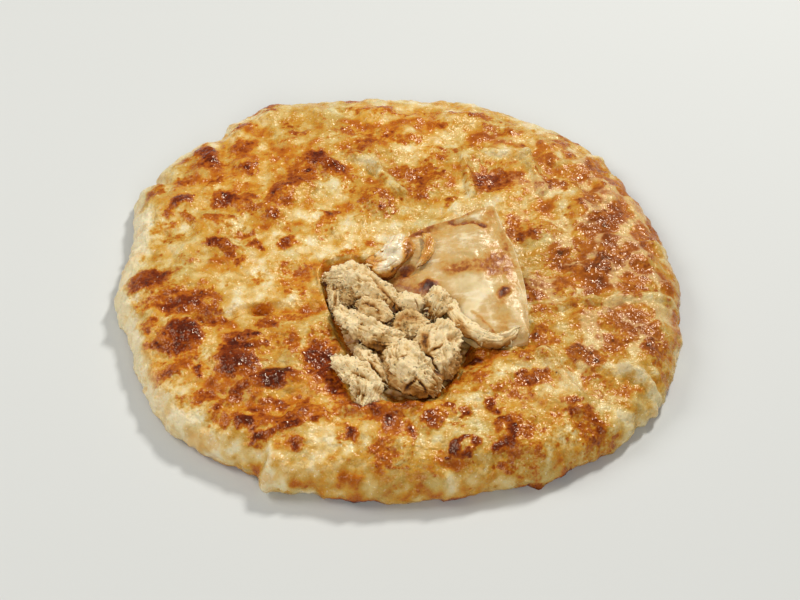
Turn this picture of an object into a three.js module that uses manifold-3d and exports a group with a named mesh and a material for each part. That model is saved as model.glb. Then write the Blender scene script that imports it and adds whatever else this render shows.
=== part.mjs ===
// A round, flat chicken pie, about 280 mm across: a thin dough crust baked round a layer of
// chicken filling. The top crust was cut near the middle and its corner folded back as a
// flap, and a heap of torn chicken lies in the opening.
// Millimetres, +Z up. The origin is on the flat underside, at the middle of the outline.
import * as THREE from "three";
import { mergeVertices } from "three/addons/utils/BufferGeometryUtils.js";
import Module from "manifold-3d";

// Driving dimensions
const PIE_RADIUS = 140; // nominal radius, to the bulge of the side
const PIE_HEIGHT = 23; // of the smooth top, before lumps and folds
const BULGE_HEIGHT = 5; // where the side stands out furthest
const UNDERSIDE_RADIUS = 129; // of the flat that the pie rests on
const RIM_WIDTH = 18; // over which the side rounds into the top
const CROWN_POWER = 8; // how squarely it does so
const TOP_CRUST = 3.6;
const UNDER_SHARE = 0.6; // share of the top's relief that its under face follows
const BASE_CRUST = 3;
const SIDE_CRUST = 10;
const BROAD_WAVE = 1.9; // depth of the top's broad unevenness, and of the shorter one on it
const SHORT_WAVE = 1.2;
const FLAP_THICKNESS = 2.2;
const FLAP_ROLL = 3.2; // how far the flap stands off the straight line from its fold to its edge
const FLAP_WAVE = 0.7; // depth of the waves of its free part
const GAP = 0.3; // between pieces that touch
const MIDDLE = [-0.77, 1.68]; // of the pie's outline, where the places below are measured from
const OPENING_CENTRE = [-4, -42];
const OPENING_RADIUS = 40; // nominal radius of the cut in the top crust
const BED_HEIGHT = 16; // filling at the foot of the cut
const BED_MOUND = 6; // the filling heaps up under the chicken by this much

// How finely each solid is divided
const RIM_SEGMENTS = 108;
const INNER_SEGMENTS = 40;
const CHUNK_SEGMENTS = [12, 8];
const SCRAP_SEGMENTS = [8, 8];

// Radius of the pie's edge by angle in degrees, anticlockwise from +X: four soft corners
// where the dough was gathered, and the notches of its folds.
const EDGE = [
  [0, 139], [15, 136], [30, 137.5], [46, 142], [62, 141.5], [76, 142.5], [90, 141.5],
  [105, 144.5], [117, 152], [127, 150.5], [133, 144], [140, 149.5], [147, 150],
  [150.5, 147], [155, 150], [165, 141.5], [173, 138], [183, 141], [195, 138.5],
  [210, 141], [222, 145], [235, 141], [240, 140], [244, 144], [250, 140.5], [265, 138.5],
  [280, 138], [290, 138.5], [300, 143], [310, 143.5], [318, 146.5], [330, 147],
  [345, 142], [353, 140],
];

// Radius of the opening by angle, about OPENING_CENTRE.
const OPENING = [
  [4, 31], [48, 24], [80, 30], [93, 40], [104, 45], [118, 51], [136, 50], [149, 39],
  [172, 30], [207, 28], [240, 32], [259, 41], [272, 49], [288, 51], [304, 49],
  [324, 44], [341, 43],
];

// Lumps of the top crust: middle x and y, half length, half width, turn in degrees, height.
const LUMPS = [
  [-12, 45, 13, 11, -40, 2.6], [5, 64, 13, 8, 10, -1.6], [47, 60, 10, 12, -30, -2.2],
  [88, 40, 9, 13, 70, 2.8], [112, 6, 15, 10, 0, 1.6], [58, 16, 5, 14, 0, -2.2],
  [-45, -45, 13, 9, 20, 3], [-80, -68, 13, 9, -15, 3], [-60, -80, 17, 6, 10, 2.4],
  [-32, -76, 11, 22, 25, -2.6], [-65, -108, 22, 7, 12, 1.6], [-110, -48, 18, 9, 5, 2],
  [-114, -12, 19, 9, 10, 2.2], [-95, 12, 15, 6, -5, 1.6], [-111, 48, 8, 11, 20, 2.2],
  [-88, 47, 18, 7, 0, 1.6], [-60, 50, 14, 11, 30, 2.2], [-44, 76, 14, 7, -20, 2],
  [-102, 82, 6, 13, 20, 2.4], [-68, 118, 11, 5, 0, 2], [-92, 30, 13, 7, 0, 1.6],
  [-84, -18, 16, 9, 10, -1.6], [45, -78, 11, 8, 10, 2.2], [95, -80, 18, 11, -10, -2.6],
  [60, -110, 17, 13, 0, 1.6], [30, -122, 7, 6, 0, 1.6], [12, -108, 5, 7, 0, 1.4],
  [-27, -115, 6, 8, -20, 1.4], [125, -50, 9, 18, 0, 2.4], [70, -40, 14, 7, 0, 1.8],
  [86, 80, 18, 7, -40, 1.6], [30, 112, 20, 7, 0, 1.8], [-35, 108, 16, 8, 10, -1.4],
  [2, 98, 12, 7, -10, 1.6], [110, 60, 12, 8, -60, 1.8], [15, -100, 22, 6, 0, 1.6],
  [-38, -8, 9, 12, 0, 1.4], [-20, 18, 16, 8, -10, 1.2], [78, -5, 14, 9, -20, -1.6],
];

// Ridges of folded dough: from x and y, to x and y, half width, height.
const RIDGES = [
  [-27, 82, -12, 70, 4, 2.2], [-12, 70, -1, 50, 4, 2.4], [33, 77, 37, 50, 3, 2],
  [45, 84, 66, 82, 3, 1.6], [66, 82, 73, 52, 3, 1.8], [62, -33, 92, -29, 4, 2],
  [92, -29, 132, -19, 4, 2.2], [68, -62, 83, -88, 4, 2.2], [-96, -38, -68, -33, 5, -2],
  [-68, -33, -42, -33, 5, -2.2], [106, -68, 130, -84, 3.5, 2.4], [112, -88, 128, -98, 3.5, 2],
  [-122, 62, -137, 70, 4, 2], [-100, 92, -112, 104, 4, 2.2], [-128, 20, -136, 24, 4, -2],
  [-24, -99, 6, -97, 4, 1.8],
];

// The flap: the line where it folds out of the crust, and its free edge with the tip.
const FLAP_FOLD = [
  [-9, -7, 19.5], [-4, -16, 19.5], [10, -30, 20], [24, -45, 20.5], [41, -60, 21], [61, -57, 23],
];
const FLAP_EDGE = [
  [-8.5, -4.5, 22], [5, 12, 27], [17, 19, 29], [30, 22, 31],
  [46, 27, 36], [56, 2, 31], [61, -25, 28], [62, -54, 25.5],
];

// Torn chicken: the spine that each piece follows, its width, height and unevenness.
const CHICKEN = {
  chicken_shaded: { spine: [[-28, -23, 24], [-22, -29, 24]], size: [9, 9], rough: 0.16 },
  chicken_left: { spine: [[-33, -16, 22], [-31, -25, 22], [-32, -34, 20]], size: [7, 9], rough: 0.12 },
  chicken_low: {
    spine: [[-20, -58, 23], [-16, -67, 22], [-10, -75, 21], [-5, -82, 19]],
    size: [9, 10], rough: 0.14,
  },
  chicken_inner: { spine: [[-20, -32, 26], [-12, -39, 26], [-4, -43, 26]], size: [11, 12], rough: 0.12 },
  chicken_flat: { spine: [[-3, -45, 24], [5, -46, 26], [13, -46, 24]], size: [17, 11], rough: 0.12 },
  chicken_back: {
    spine: [[-37, -14, 27], [-24, -16, 29], [-12, -25, 29], [0, -37, 26]],
    size: [16, 14], rough: 0.13,
  },
  chicken_front: {
    spine: [[-31, -36, 25], [-23, -45, 26], [-15, -52, 26], [-6, -56, 25], [2, -55, 24]],
    size: [13, 13], rough: 0.12,
  },
  chicken_right: { spine: [[21, -45, 24], [19, -61, 25], [21, -76, 21]], size: [19, 15], rough: 0.16 },
  chicken_large: { spine: [[1, -59, 25], [4, -75, 26], [18, -86, 22]], size: [21, 16], rough: 0.16 },
  chicken_pale: {
    spine: [[-31, -67, 26], [-21, -78, 26], [-16, -87, 26], [-18, -99, 22]],
    size: [14, 9], rough: 0.13,
  },
  chicken_smooth: { spine: [[-2, -29, 28], [5, -33, 28], [12, -33, 28]], size: [10, 10], rough: 0.08 },
  chicken_knob: { spine: [[17, -23, 27], [18, -34, 27], [15, -41, 25]], size: [11, 12], rough: 0.12 },
  chicken_finger: {
    spine: [
      [26, -31, 26], [26, -39, 26], [30, -48, 26], [37, -54, 26], [44, -58, 26], [51, -56, 26], [57, -51, 28],
    ],
    size: [8, 8], rough: 0.1,
  },
  chicken_skin: {
    spine: [[3, 10, 30], [-2, 1, 31], [-9, -7, 29], [-17, -5, 26]],
    size: [13, 11], rough: 0.12, finish: "skin",
  },
  dough_curl: {
    spine: [[11, 11, 31], [15, 5, 31], [13, -4, 30], [8, -10, 28]],
    size: [5, 5], rough: 0.1, finish: "skin",
  },
};

// Colours, roughness
const FINISH = {
  crust: ["#d9a860", 0.45],
  filling: ["#b08a55", 0.7],
  chicken: ["#dfc594", 0.7],
  skin: ["#e2cb98", 0.5],
};

const wasm = await Module();
wasm.setup();

const radians = (degrees) => (degrees * Math.PI) / 180;

// A smooth closed curve through a table of [degrees, value].
function around(table, angle) {
  const degrees = ((((angle * 180) / Math.PI) % 360) + 360) % 360;
  const count = table.length;
  const at = (i) => {
    const turn = Math.floor(i / count);
    const [a, value] = table[i - turn * count];
    return [a + 360 * turn, value];
  };
  let i = table.findIndex(([a]) => a > degrees) - 1;
  if (i < -1) i = count - 1;
  const [p, q, r, s] = [at(i - 1), at(i), at(i + 1), at(i + 2)];
  const span = r[0] - q[0];
  const t = (degrees - q[0]) / span;
  const slopeIn = ((r[1] - p[1]) / (r[0] - p[0])) * span;
  const slopeOut = ((s[1] - q[1]) / (s[0] - q[0])) * span;
  const t2 = t * t;
  const t3 = t2 * t;
  return (
    (2 * t3 - 3 * t2 + 1) * q[1] + (t3 - 2 * t2 + t) * slopeIn +
    (3 * t2 - 2 * t3) * r[1] + (t3 - t2) * slopeOut
  );
}

// A lazy, repeatable unevenness: a sum of waves whose directions step by the golden angle.
function waves(x, y, length, seed) {
  const GOLDEN = 2.399963;
  const COUNT = 5;
  let sum = 0;
  for (let k = 0; k < COUNT; k++) {
    const turn = GOLDEN * (k + 1) + seed;
    const number = ((2 * Math.PI) / length) * (0.75 + 0.15 * k);
    sum += Math.sin(number * (x * Math.cos(turn) + y * Math.sin(turn)) + seed * (3 + k));
  }
  return sum / COUNT;
}

// Height of the lumps, ridges and waves of the top crust at a place.
function relief(x, y) {
  let height = BROAD_WAVE * waves(x, y, 34, 1.3) + SHORT_WAVE * waves(x, y, 17, 4.1);
  for (const [cx, cy, long, wide, turn, lump] of LUMPS) {
    const c = Math.cos(radians(turn));
    const s = Math.sin(radians(turn));
    const u = ((x - cx) * c + (y - cy) * s) / long;
    const v = ((y - cy) * c - (x - cx) * s) / wide;
    height += lump * Math.exp(-Math.pow(u * u + v * v, 1.5));
  }
  for (const [ax, ay, bx, by, wide, ridge] of RIDGES) {
    const [dx, dy] = [bx - ax, by - ay];
    const along = ((x - ax) * dx + (y - ay) * dy) / (dx * dx + dy * dy);
    const t = Math.min(1, Math.max(0, along));
    const away = Math.hypot(x - ax - t * dx, y - ay - t * dy) / wide;
    height += ridge * Math.exp(-away * away);
  }
  return height;
}

// The plan of the pie. A nominal radius runs from 0 at the opening's centre, through
// OPENING_RADIUS at the cut, to PIE_RADIUS at the edge.
function plan(radius, angle) {
  const [ox, oy] = OPENING_CENTRE;
  const cut = around(OPENING, angle);
  const lip = [ox + cut * Math.cos(angle), oy + cut * Math.sin(angle)];
  if (radius <= OPENING_RADIUS) {
    const t = radius / OPENING_RADIUS;
    return [ox + (lip[0] - ox) * t, oy + (lip[1] - oy) * t];
  }
  const edge = around(EDGE, angle);
  const t = (radius - OPENING_RADIUS) / (PIE_RADIUS - OPENING_RADIUS);
  return [
    lip[0] + (edge * Math.cos(angle) - lip[0]) * t,
    lip[1] + (edge * Math.sin(angle) - lip[1]) * t,
  ];
}

// Height of the smooth top by nominal radius: nearly flat, rounding over at the rim.
function crown(radius) {
  const t = Math.min(1, radius / PIE_RADIUS);
  return BULGE_HEIGHT + (PIE_HEIGHT - BULGE_HEIGHT) * Math.sqrt(1 - Math.pow(t, CROWN_POWER));
}

// Share of the relief by nominal radius: none at the bulge, all of it inside the rim.
function reliefShare(radius) {
  return THREE.MathUtils.smoothstep(PIE_RADIUS - radius, 0, RIM_WIDTH);
}

// A closed solid of a profile of [nominal radius, height, share of the relief], turned
// round the axis and then moved onto the pie's own plan.
function turned(profile, segments) {
  const outline = profile.map(([r, z]) => new THREE.Vector2(r, z));
  const geometry = new THREE.LatheGeometry(outline, segments);
  const position = geometry.getAttribute("position");
  for (let i = 0; i < position.count; i++) {
    const [radius, height, share] = profile[i % profile.length];
    const column = Math.floor(i / profile.length) % segments;
    const angle = (2 * Math.PI * column) / segments;
    const [x, y] = plan(radius, angle);
    position.setXYZ(i, x, y, height + (share ? share * relief(x, y) : 0));
  }
  return solid(geometry);
}

// A closed geometry as a solid that can be joined and cut.
function solid(geometry) {
  const bare = geometry.clone();
  for (const name of Object.keys(bare.attributes)) {
    if (name !== "position") bare.deleteAttribute(name);
  }
  const merged = mergeVertices(bare, 1e-3);
  const corners = merged.index.array;
  const faces = [];
  for (let i = 0; i < corners.length; i += 3) {
    const [a, b, c] = [corners[i], corners[i + 1], corners[i + 2]];
    if (a !== b && b !== c && c !== a) faces.push(a, b, c);
  }
  const made = new wasm.Manifold(
    new wasm.Mesh({
      numProp: 3,
      vertProperties: new Float32Array(merged.attributes.position.array),
      triVerts: new Uint32Array(faces),
    }),
  );
  return made.volume() > 0 ? made : solid(reversed(bare));
}

// The geometry with each face turned round.
function reversed(geometry) {
  const loose = geometry.index ? geometry.toNonIndexed() : geometry;
  const p = loose.getAttribute("position");
  for (let i = 0; i < p.count; i += 3) {
    const [x, y, z] = [p.getX(i + 1), p.getY(i + 1), p.getZ(i + 1)];
    p.setXYZ(i + 1, p.getX(i + 2), p.getY(i + 2), p.getZ(i + 2));
    p.setXYZ(i + 2, x, y, z);
  }
  return loose;
}

// The largest connected body of a solid.
function largest(body) {
  return body.decompose().sort((a, b) => b.volume() - a.volume())[0];
}

// The outside of the pie: flat underside, rounded side, lumpy top. Its top and every solid
// below can be made with some room round it, for cutting what lies against it.
function pieOutside(room = 0) {
  const SIDE_STEPS = 4;
  const RIM_STEPS = 5;
  const TOP_STEPS = 14;
  const profile = [[0, 0, 0]];
  for (let i = 0; i <= SIDE_STEPS; i++) {
    const turn = (Math.PI / 2) * (i / SIDE_STEPS);
    const radius = UNDERSIDE_RADIUS + (PIE_RADIUS - UNDERSIDE_RADIUS) * Math.sin(turn);
    profile.push([radius, BULGE_HEIGHT * (1 - Math.cos(turn)), 0]);
  }
  for (let i = 1; i <= RIM_STEPS; i++) {
    const radius = PIE_RADIUS - RIM_WIDTH * Math.pow(i / RIM_STEPS, 1.6);
    profile.push([radius, crown(radius) + room, reliefShare(radius)]);
  }
  const first = PIE_RADIUS - RIM_WIDTH;
  const last = OPENING_RADIUS - 3; // inside the cut, which the hollow takes away
  for (let i = 1; i <= TOP_STEPS; i++) {
    const radius = first + ((last - first) * i) / TOP_STEPS;
    profile.push([radius, crown(radius) + room, 1]);
  }
  profile.push([0, PIE_HEIGHT + room, 0]);
  return turned(profile, RIM_SEGMENTS);
}

// The under face of the top crust, as profile points from the side to the cut. It follows
// the lumps of the top only in part, because the filling evens them out.
function underTop(room) {
  const STEPS = 6;
  const first = PIE_RADIUS - 1.6 * SIDE_CRUST;
  const last = OPENING_RADIUS + 3;
  const points = [];
  for (let i = 0; i <= STEPS; i++) {
    const radius = first + ((last - first) * i) / STEPS;
    points.push([radius, crown(radius) - TOP_CRUST - room, UNDER_SHARE]);
  }
  return points;
}

// The hollow of the crust, open through the cut.
function hollow(room = 0) {
  const side = PIE_RADIUS - SIDE_CRUST;
  const cut = OPENING_RADIUS - room;
  const profile = [
    [0, BASE_CRUST, 0], [side - 4, BASE_CRUST, 0], [side, BULGE_HEIGHT, 0], ...underTop(room),
    [cut, crown(cut) - TOP_CRUST - room, UNDER_SHARE],
    [cut, 2 * PIE_HEIGHT, 0], [0, 2 * PIE_HEIGHT, 0],
  ];
  return turned(profile, INNER_SEGMENTS);
}

// The chicken filling: a layer through the whole pie, heaped up a little in the opening.
function fillingBody(room = 0) {
  const side = PIE_RADIUS - SIDE_CRUST - 2 * GAP;
  const foot = BED_HEIGHT + room;
  const bed = [0.9, 0.85, 0.65, 0.45, 0.25].map((t) => {
    const mound = BED_MOUND * Math.min(1, 2 * (1 - t));
    return [OPENING_RADIUS * t, foot + mound, 0.5];
  });
  const profile = [
    [0, BASE_CRUST + GAP, 0], [side - 4, BASE_CRUST + GAP, 0], [side, BULGE_HEIGHT, 0],
    ...underTop(GAP), ...bed, [0, foot + BED_MOUND, 0],
  ];
  return turned(profile, INNER_SEGMENTS);
}

function curveThrough(points) {
  return new THREE.CatmullRomCurve3(points.map((p) => new THREE.Vector3(...p)));
}

// The folded-back corner of the top crust: a thin wavy sheet from its fold to its free
// edges. The sheet's grid runs along the fold and away from it.
function flapBody(room = 0) {
  const fold = curveThrough(FLAP_FOLD);
  const edge = curveThrough(FLAP_EDGE);
  const ALONG = 16;
  const AWAY = 8;
  const sheet = new THREE.BoxGeometry(1, 1, FLAP_THICKNESS + 2 * room, ALONG, AWAY, 1);
  const position = sheet.getAttribute("position");
  for (let i = 0; i < position.count; i++) {
    const along = position.getX(i) + 0.5;
    const away = position.getY(i) + 0.5;
    const across = edge.getPoint(along).sub(fold.getPoint(along));
    const p = fold.getPoint(along).addScaledVector(across, away);
    p.addScaledVector(across.normalize(), room * (2 * away - 1));
    const tangent = fold.getTangent(along).lerp(edge.getTangent(along), away);
    p.addScaledVector(tangent, room * (2 * along - 1));
    const roll = Math.sin(Math.PI * Math.min(1, 1.15 * away)); // up over the lip, then down
    p.z += FLAP_ROLL * roll + FLAP_WAVE * away * waves(p.x, p.y, 22, 7.7) + position.getZ(i);
    position.setXYZ(i, p.x, p.y, p.z);
  }
  return solid(sheet);
}

// A torn piece of chicken: a blunt, lumpy body that follows its spine.
function chunkBody({ spine, size, rough }, seed, room = 0) {
  const curve = curveThrough(spine);
  const [width, height] = size;
  const [round, long] = width < 9.5 ? SCRAP_SEGMENTS : CHUNK_SEGMENTS;
  const geometry = new THREE.SphereGeometry(1, round, long);
  const position = geometry.getAttribute("position");
  const up = new THREE.Vector3(0, 0, 1);
  for (let i = 0; i < position.count; i++) {
    const s = (1 - position.getY(i)) / 2;
    const turn = Math.atan2(position.getZ(i), position.getX(i));
    const blunt = Math.pow(Math.max(0, 1 - Math.pow(Math.abs(2 * s - 1), 2.6)), 0.55);
    const tangent = curve.getTangent(s);
    const side = new THREE.Vector3().crossVectors(tangent, up).normalize();
    const top = new THREE.Vector3().crossVectors(side, tangent);
    const lump = 1 + 1.8 * rough * waves(6 * s + seed, 2 * Math.cos(turn) + Math.sin(2 * turn), 4, seed);
    const p = curve
      .getPoint(s)
      .addScaledVector(side, (0.5 * width * lump + room) * blunt * Math.cos(turn))
      .addScaledVector(top, (0.5 * height * lump + room) * blunt * Math.sin(turn))
      .addScaledVector(tangent, room * (2 * s - 1));
    position.setXYZ(i, p.x, p.y, p.z);
  }
  return solid(geometry);
}

// How far to move a piece up or down so that a share of it presses into the others.
function settled(body, others) {
  const START = 12;
  const STEP = 0.5;
  const PRESSED = 0.07;
  for (let rise = START; rise > -START; rise -= STEP) {
    const moved = body.translate([0, 0, rise]);
    const pressed = others.reduce((sum, other) => sum + moved.intersect(other).volume(), 0);
    if (pressed > PRESSED * body.volume()) return rise;
  }
  return -START;
}

// A named mesh of a solid, with its colour and roughness.
function meshOf(name, body, [colour, roughness]) {
  const { vertProperties, triVerts, numProp, numVert } = body.getMesh();
  const points = new Float32Array(3 * numVert);
  for (let i = 0; i < numVert; i++) {
    points.set(vertProperties.subarray(i * numProp, i * numProp + 3), 3 * i);
  }
  const geometry = new THREE.BufferGeometry();
  geometry.setAttribute("position", new THREE.BufferAttribute(points, 3));
  geometry.setIndex(new THREE.BufferAttribute(new Uint32Array(triVerts), 1));
  geometry.computeVertexNormals();
  const material = new THREE.MeshStandardMaterial({ color: colour, roughness, metalness: 0 });
  const mesh = new THREE.Mesh(geometry, material);
  mesh.name = name;
  return mesh;
}

const pie = new THREE.Group();
const crust = largest(pieOutside().subtract(hollow()).add(flapBody()));
const filling = fillingBody().subtract(flapBody(GAP));
pie.add(meshOf("crust", crust, FINISH.crust));
pie.add(meshOf("filling", filling, FINISH.filling));

// The chicken is laid in place piece by piece. Each comes down until it presses a little
// into what already lies there, and gives way to that.
const taken = [pieOutside(GAP).subtract(hollow(GAP)).add(flapBody(GAP)), fillingBody(GAP)];
Object.entries(CHICKEN).forEach(([name, spec], i) => {
  const body = chunkBody(spec, i + 1);
  const drop = [0, 0, settled(body, taken)];
  const piece = taken.reduce((rest, other) => rest.subtract(other), body.translate(drop));
  taken.push(chunkBody(spec, i + 1, GAP).translate(drop));
  pie.add(meshOf(name, largest(piece), FINISH[spec.finish ?? "chicken"]));
});

pie.position.set(-MIDDLE[0], -MIDDLE[1], 0);

export default pie;
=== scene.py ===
"""The looks of a round chicken pie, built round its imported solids: the lumpy browned crust with its
cut and folded-back flap, the moist filling, and the torn chicken heaped in the opening.

Places in the tables are in millimetres from the middle of the pie's base, x to the right and y away
from the viewer. Many were read by eye off enlarged parts of the photo and turned to millimetres by a
separate conversion; sizes, turns and strengths were judged by eye. MIDDLE moves the places onto the
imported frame, and everything becomes metres in its mesh.
"""
import math

import bpy
import numpy as np
from bpy.props import FloatProperty, FloatVectorProperty, PointerProperty
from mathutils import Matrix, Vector


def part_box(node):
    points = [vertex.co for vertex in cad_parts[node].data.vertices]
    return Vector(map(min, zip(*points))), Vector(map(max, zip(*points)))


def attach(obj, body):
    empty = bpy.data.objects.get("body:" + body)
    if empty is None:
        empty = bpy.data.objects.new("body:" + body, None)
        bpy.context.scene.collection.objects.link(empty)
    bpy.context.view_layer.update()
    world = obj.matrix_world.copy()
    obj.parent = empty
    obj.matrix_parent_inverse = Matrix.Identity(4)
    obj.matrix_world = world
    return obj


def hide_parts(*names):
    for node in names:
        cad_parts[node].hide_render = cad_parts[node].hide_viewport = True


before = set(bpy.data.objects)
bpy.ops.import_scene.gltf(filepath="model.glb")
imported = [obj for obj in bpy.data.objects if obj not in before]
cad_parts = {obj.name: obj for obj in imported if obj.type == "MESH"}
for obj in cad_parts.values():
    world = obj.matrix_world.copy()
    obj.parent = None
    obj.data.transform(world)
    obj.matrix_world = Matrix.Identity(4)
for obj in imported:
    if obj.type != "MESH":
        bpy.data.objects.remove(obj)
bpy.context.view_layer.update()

bl_info = {
    "name": "Chicken Pie",
    "version": (1, 0, 0),
    "blender": (4, 5, 0),
    "location": "View3D > Sidebar > Pie",
    "description": "Builds the browned crust, flap, filling and torn chicken of a pie round its solids",
    "category": "Add Mesh",
}

BODY = "root"
MM = 0.001
MIDDLE = np.array([-0.77, 1.68, 0.0])

# ---------------------------------------------------------------- sizes that the solids have too

PIE_RADIUS = 140.0
PIE_HEIGHT = 23.0
BULGE_HEIGHT = 5.0
UNDERSIDE_RADIUS = 129.0
RIM_WIDTH = 18.0
CROWN_POWER = 8
TOP_CRUST = 3.6
UNDER_SHARE = 0.6
BASE_CRUST = 3.0
SIDE_CRUST = 10.0
FLAP_THICKNESS = 2.2
FLAP_ROLL = 3.2
GAP = 0.3
OPENING_CENTRE = (-4.0, -42.0)
OPENING_RADIUS = 40.0
BED_HEIGHT = 16.0
BED_MOUND = 6.0
BROAD_WAVE, BROAD_LENGTH = 1.9, 34  # the top's broad unevenness: depth and length
SHORT_WAVE, SHORT_LENGTH = 1.2, 17
FLAP_WAVE, FLAP_LENGTH = 0.7, 22

# Radius of the edge, and of the opening about its own centre, by degrees anticlockwise from +X.
EDGE = [
    (0, 139), (15, 136), (30, 137.5), (46, 142), (62, 141.5), (76, 142.5), (90, 141.5),
    (105, 144.5), (117, 152), (127, 150.5), (133, 144), (140, 149.5), (147, 150), (150.5, 147),
    (155, 150), (165, 141.5), (173, 138), (183, 141), (195, 138.5), (210, 141), (222, 145),
    (235, 141), (240, 140), (244, 144), (250, 140.5), (265, 138.5), (280, 138), (290, 138.5),
    (300, 143), (310, 143.5), (318, 146.5), (330, 147), (345, 142), (353, 140),
]
OPENING = [
    (4, 31), (48, 24), (80, 30), (93, 40), (104, 45), (118, 51), (136, 50), (149, 39), (172, 30),
    (207, 28), (240, 32), (259, 41), (272, 49), (288, 51), (304, 49), (324, 44), (341, 43),
]

# Lumps of the top crust: middle x and y, half length, half width, turn in degrees, height.
LUMPS = [
    (-12, 45, 13, 11, -40, 2.6), (5, 64, 13, 8, 10, -1.6), (47, 60, 10, 12, -30, -2.2),
    (88, 40, 9, 13, 70, 2.8), (112, 6, 15, 10, 0, 1.6), (58, 16, 5, 14, 0, -2.2),
    (-45, -45, 13, 9, 20, 3), (-80, -68, 13, 9, -15, 3), (-60, -80, 17, 6, 10, 2.4),
    (-32, -76, 11, 22, 25, -2.6), (-65, -108, 22, 7, 12, 1.6), (-110, -48, 18, 9, 5, 2),
    (-114, -12, 19, 9, 10, 2.2), (-95, 12, 15, 6, -5, 1.6), (-111, 48, 8, 11, 20, 2.2),
    (-88, 47, 18, 7, 0, 1.6), (-60, 50, 14, 11, 30, 2.2), (-44, 76, 14, 7, -20, 2),
    (-102, 82, 6, 13, 20, 2.4), (-68, 118, 11, 5, 0, 2), (-92, 30, 13, 7, 0, 1.6),
    (-84, -18, 16, 9, 10, -1.6), (45, -78, 11, 8, 10, 2.2), (95, -80, 18, 11, -10, -2.6),
    (60, -110, 17, 13, 0, 1.6), (30, -122, 7, 6, 0, 1.6), (12, -108, 5, 7, 0, 1.4),
    (-27, -115, 6, 8, -20, 1.4), (125, -50, 9, 18, 0, 2.4), (70, -40, 14, 7, 0, 1.8),
    (86, 80, 18, 7, -40, 1.6), (30, 112, 20, 7, 0, 1.8), (-35, 108, 16, 8, 10, -1.4),
    (2, 98, 12, 7, -10, 1.6), (110, 60, 12, 8, -60, 1.8), (15, -100, 22, 6, 0, 1.6),
    (-38, -8, 9, 12, 0, 1.4), (-20, 18, 16, 8, -10, 1.2), (78, -5, 14, 9, -20, -1.6),
]

# Ridges of folded dough: from x and y, to x and y, half width, height.
RIDGES = [
    (-27, 82, -12, 70, 4, 2.2), (-12, 70, -1, 50, 4, 2.4), (33, 77, 37, 50, 3, 2),
    (45, 84, 66, 82, 3, 1.6), (66, 82, 73, 52, 3, 1.8), (62, -33, 92, -29, 4, 2),
    (92, -29, 132, -19, 4, 2.2), (68, -62, 83, -88, 4, 2.2), (-96, -38, -68, -33, 5, -2),
    (-68, -33, -42, -33, 5, -2.2), (106, -68, 130, -84, 3.5, 2.4), (112, -88, 128, -98, 3.5, 2),
    (-122, 62, -137, 70, 4, 2), (-100, 92, -112, 104, 4, 2.2), (-128, 20, -136, 24, 4, -2),
    (-24, -99, 6, -97, 4, 1.8),
]

# The flap: the line where it folds out of the crust, and its free edge with the tip, which is drawn
# out to a sharper point than the solid's.
FLAP_FOLD = [
    (-9, -7, 19.5), (-4, -16, 19.5), (10, -30, 20), (24, -45, 20.5), (41, -60, 21), (61, -57, 23),
]
FLAP_TIP = [
    (-8.5, -4.5, 22), (5, 12, 27), (17, 19, 29), (30, 22.5, 31), (40, 25.6, 33.8), (46, 28.5, 34.8),
    (48.6, 23, 34), (52, 12, 32.5), (56, 2, 31), (61, -25, 28), (62, -54, 25.5),
]

# Torn chicken: the spine that each piece follows, its width and height, unevenness.
CHICKEN = {
    "chicken_shaded": ([(-28, -23, 24), (-22, -29, 24)], 9, 9, 0.16),
    "chicken_left": ([(-33, -16, 22), (-31, -25, 22), (-32, -34, 20)], 7, 9, 0.12),
    "chicken_low": ([(-20, -58, 23), (-16, -67, 22), (-10, -75, 21), (-5, -82, 19)], 9, 10, 0.14),
    "chicken_inner": ([(-20, -32, 26), (-12, -39, 26), (-4, -43, 26)], 11, 12, 0.12),
    "chicken_flat": ([(-3, -45, 24), (5, -46, 26), (13, -46, 24)], 17, 11, 0.12),
    "chicken_back": ([(-37, -14, 27), (-24, -16, 29), (-12, -25, 29), (0, -37, 26)], 16, 14, 0.13),
    "chicken_front": (
        [(-31, -36, 25), (-23, -45, 26), (-15, -52, 26), (-6, -56, 25), (2, -55, 24)], 13, 13, 0.12),
    "chicken_right": ([(21, -45, 24), (19, -61, 25), (21, -76, 21)], 19, 15, 0.16),
    "chicken_large": ([(1, -59, 25), (4, -75, 26), (18, -86, 22)], 21, 16, 0.16),
    "chicken_pale": ([(-31, -67, 26), (-21, -78, 26), (-16, -87, 26), (-18, -99, 22)], 14, 9, 0.13),
    "chicken_smooth": ([(-2, -29, 28), (5, -33, 28), (12, -33, 28)], 10, 10, 0.08),
    "chicken_knob": ([(17, -23, 27), (18, -34, 27), (15, -41, 25)], 11, 12, 0.12),
    "chicken_finger": (
        [(26, -31, 26), (26, -39, 26), (30, -48, 26), (37, -54, 26), (44, -58, 26), (51, -56, 26),
         (57, -51, 28)], 8, 8, 0.1),
    "chicken_skin": ([(3, 10, 30), (-2, 1, 31), (-9, -7, 29), (-17, -5, 26)], 13, 11, 0.12),
    "dough_curl": ([(11, 11, 31), (15, 5, 31), (13, -4, 30), (8, -10, 28)], 5, 5, 0.1),
}
SKINS = ("chicken_skin", "dough_curl")
SMOOTHER = (*SKINS, "chicken_finger", "chicken_smooth")  # with less crumb and fray than the rest
SMOOTHER_RATE = 0.4
PIECE_NAMES = {"chicken_skin": "soft_skin", "dough_curl": "curl_of_dough"}

# ---------------------------------------------------------------- places of the looks alone

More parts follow.
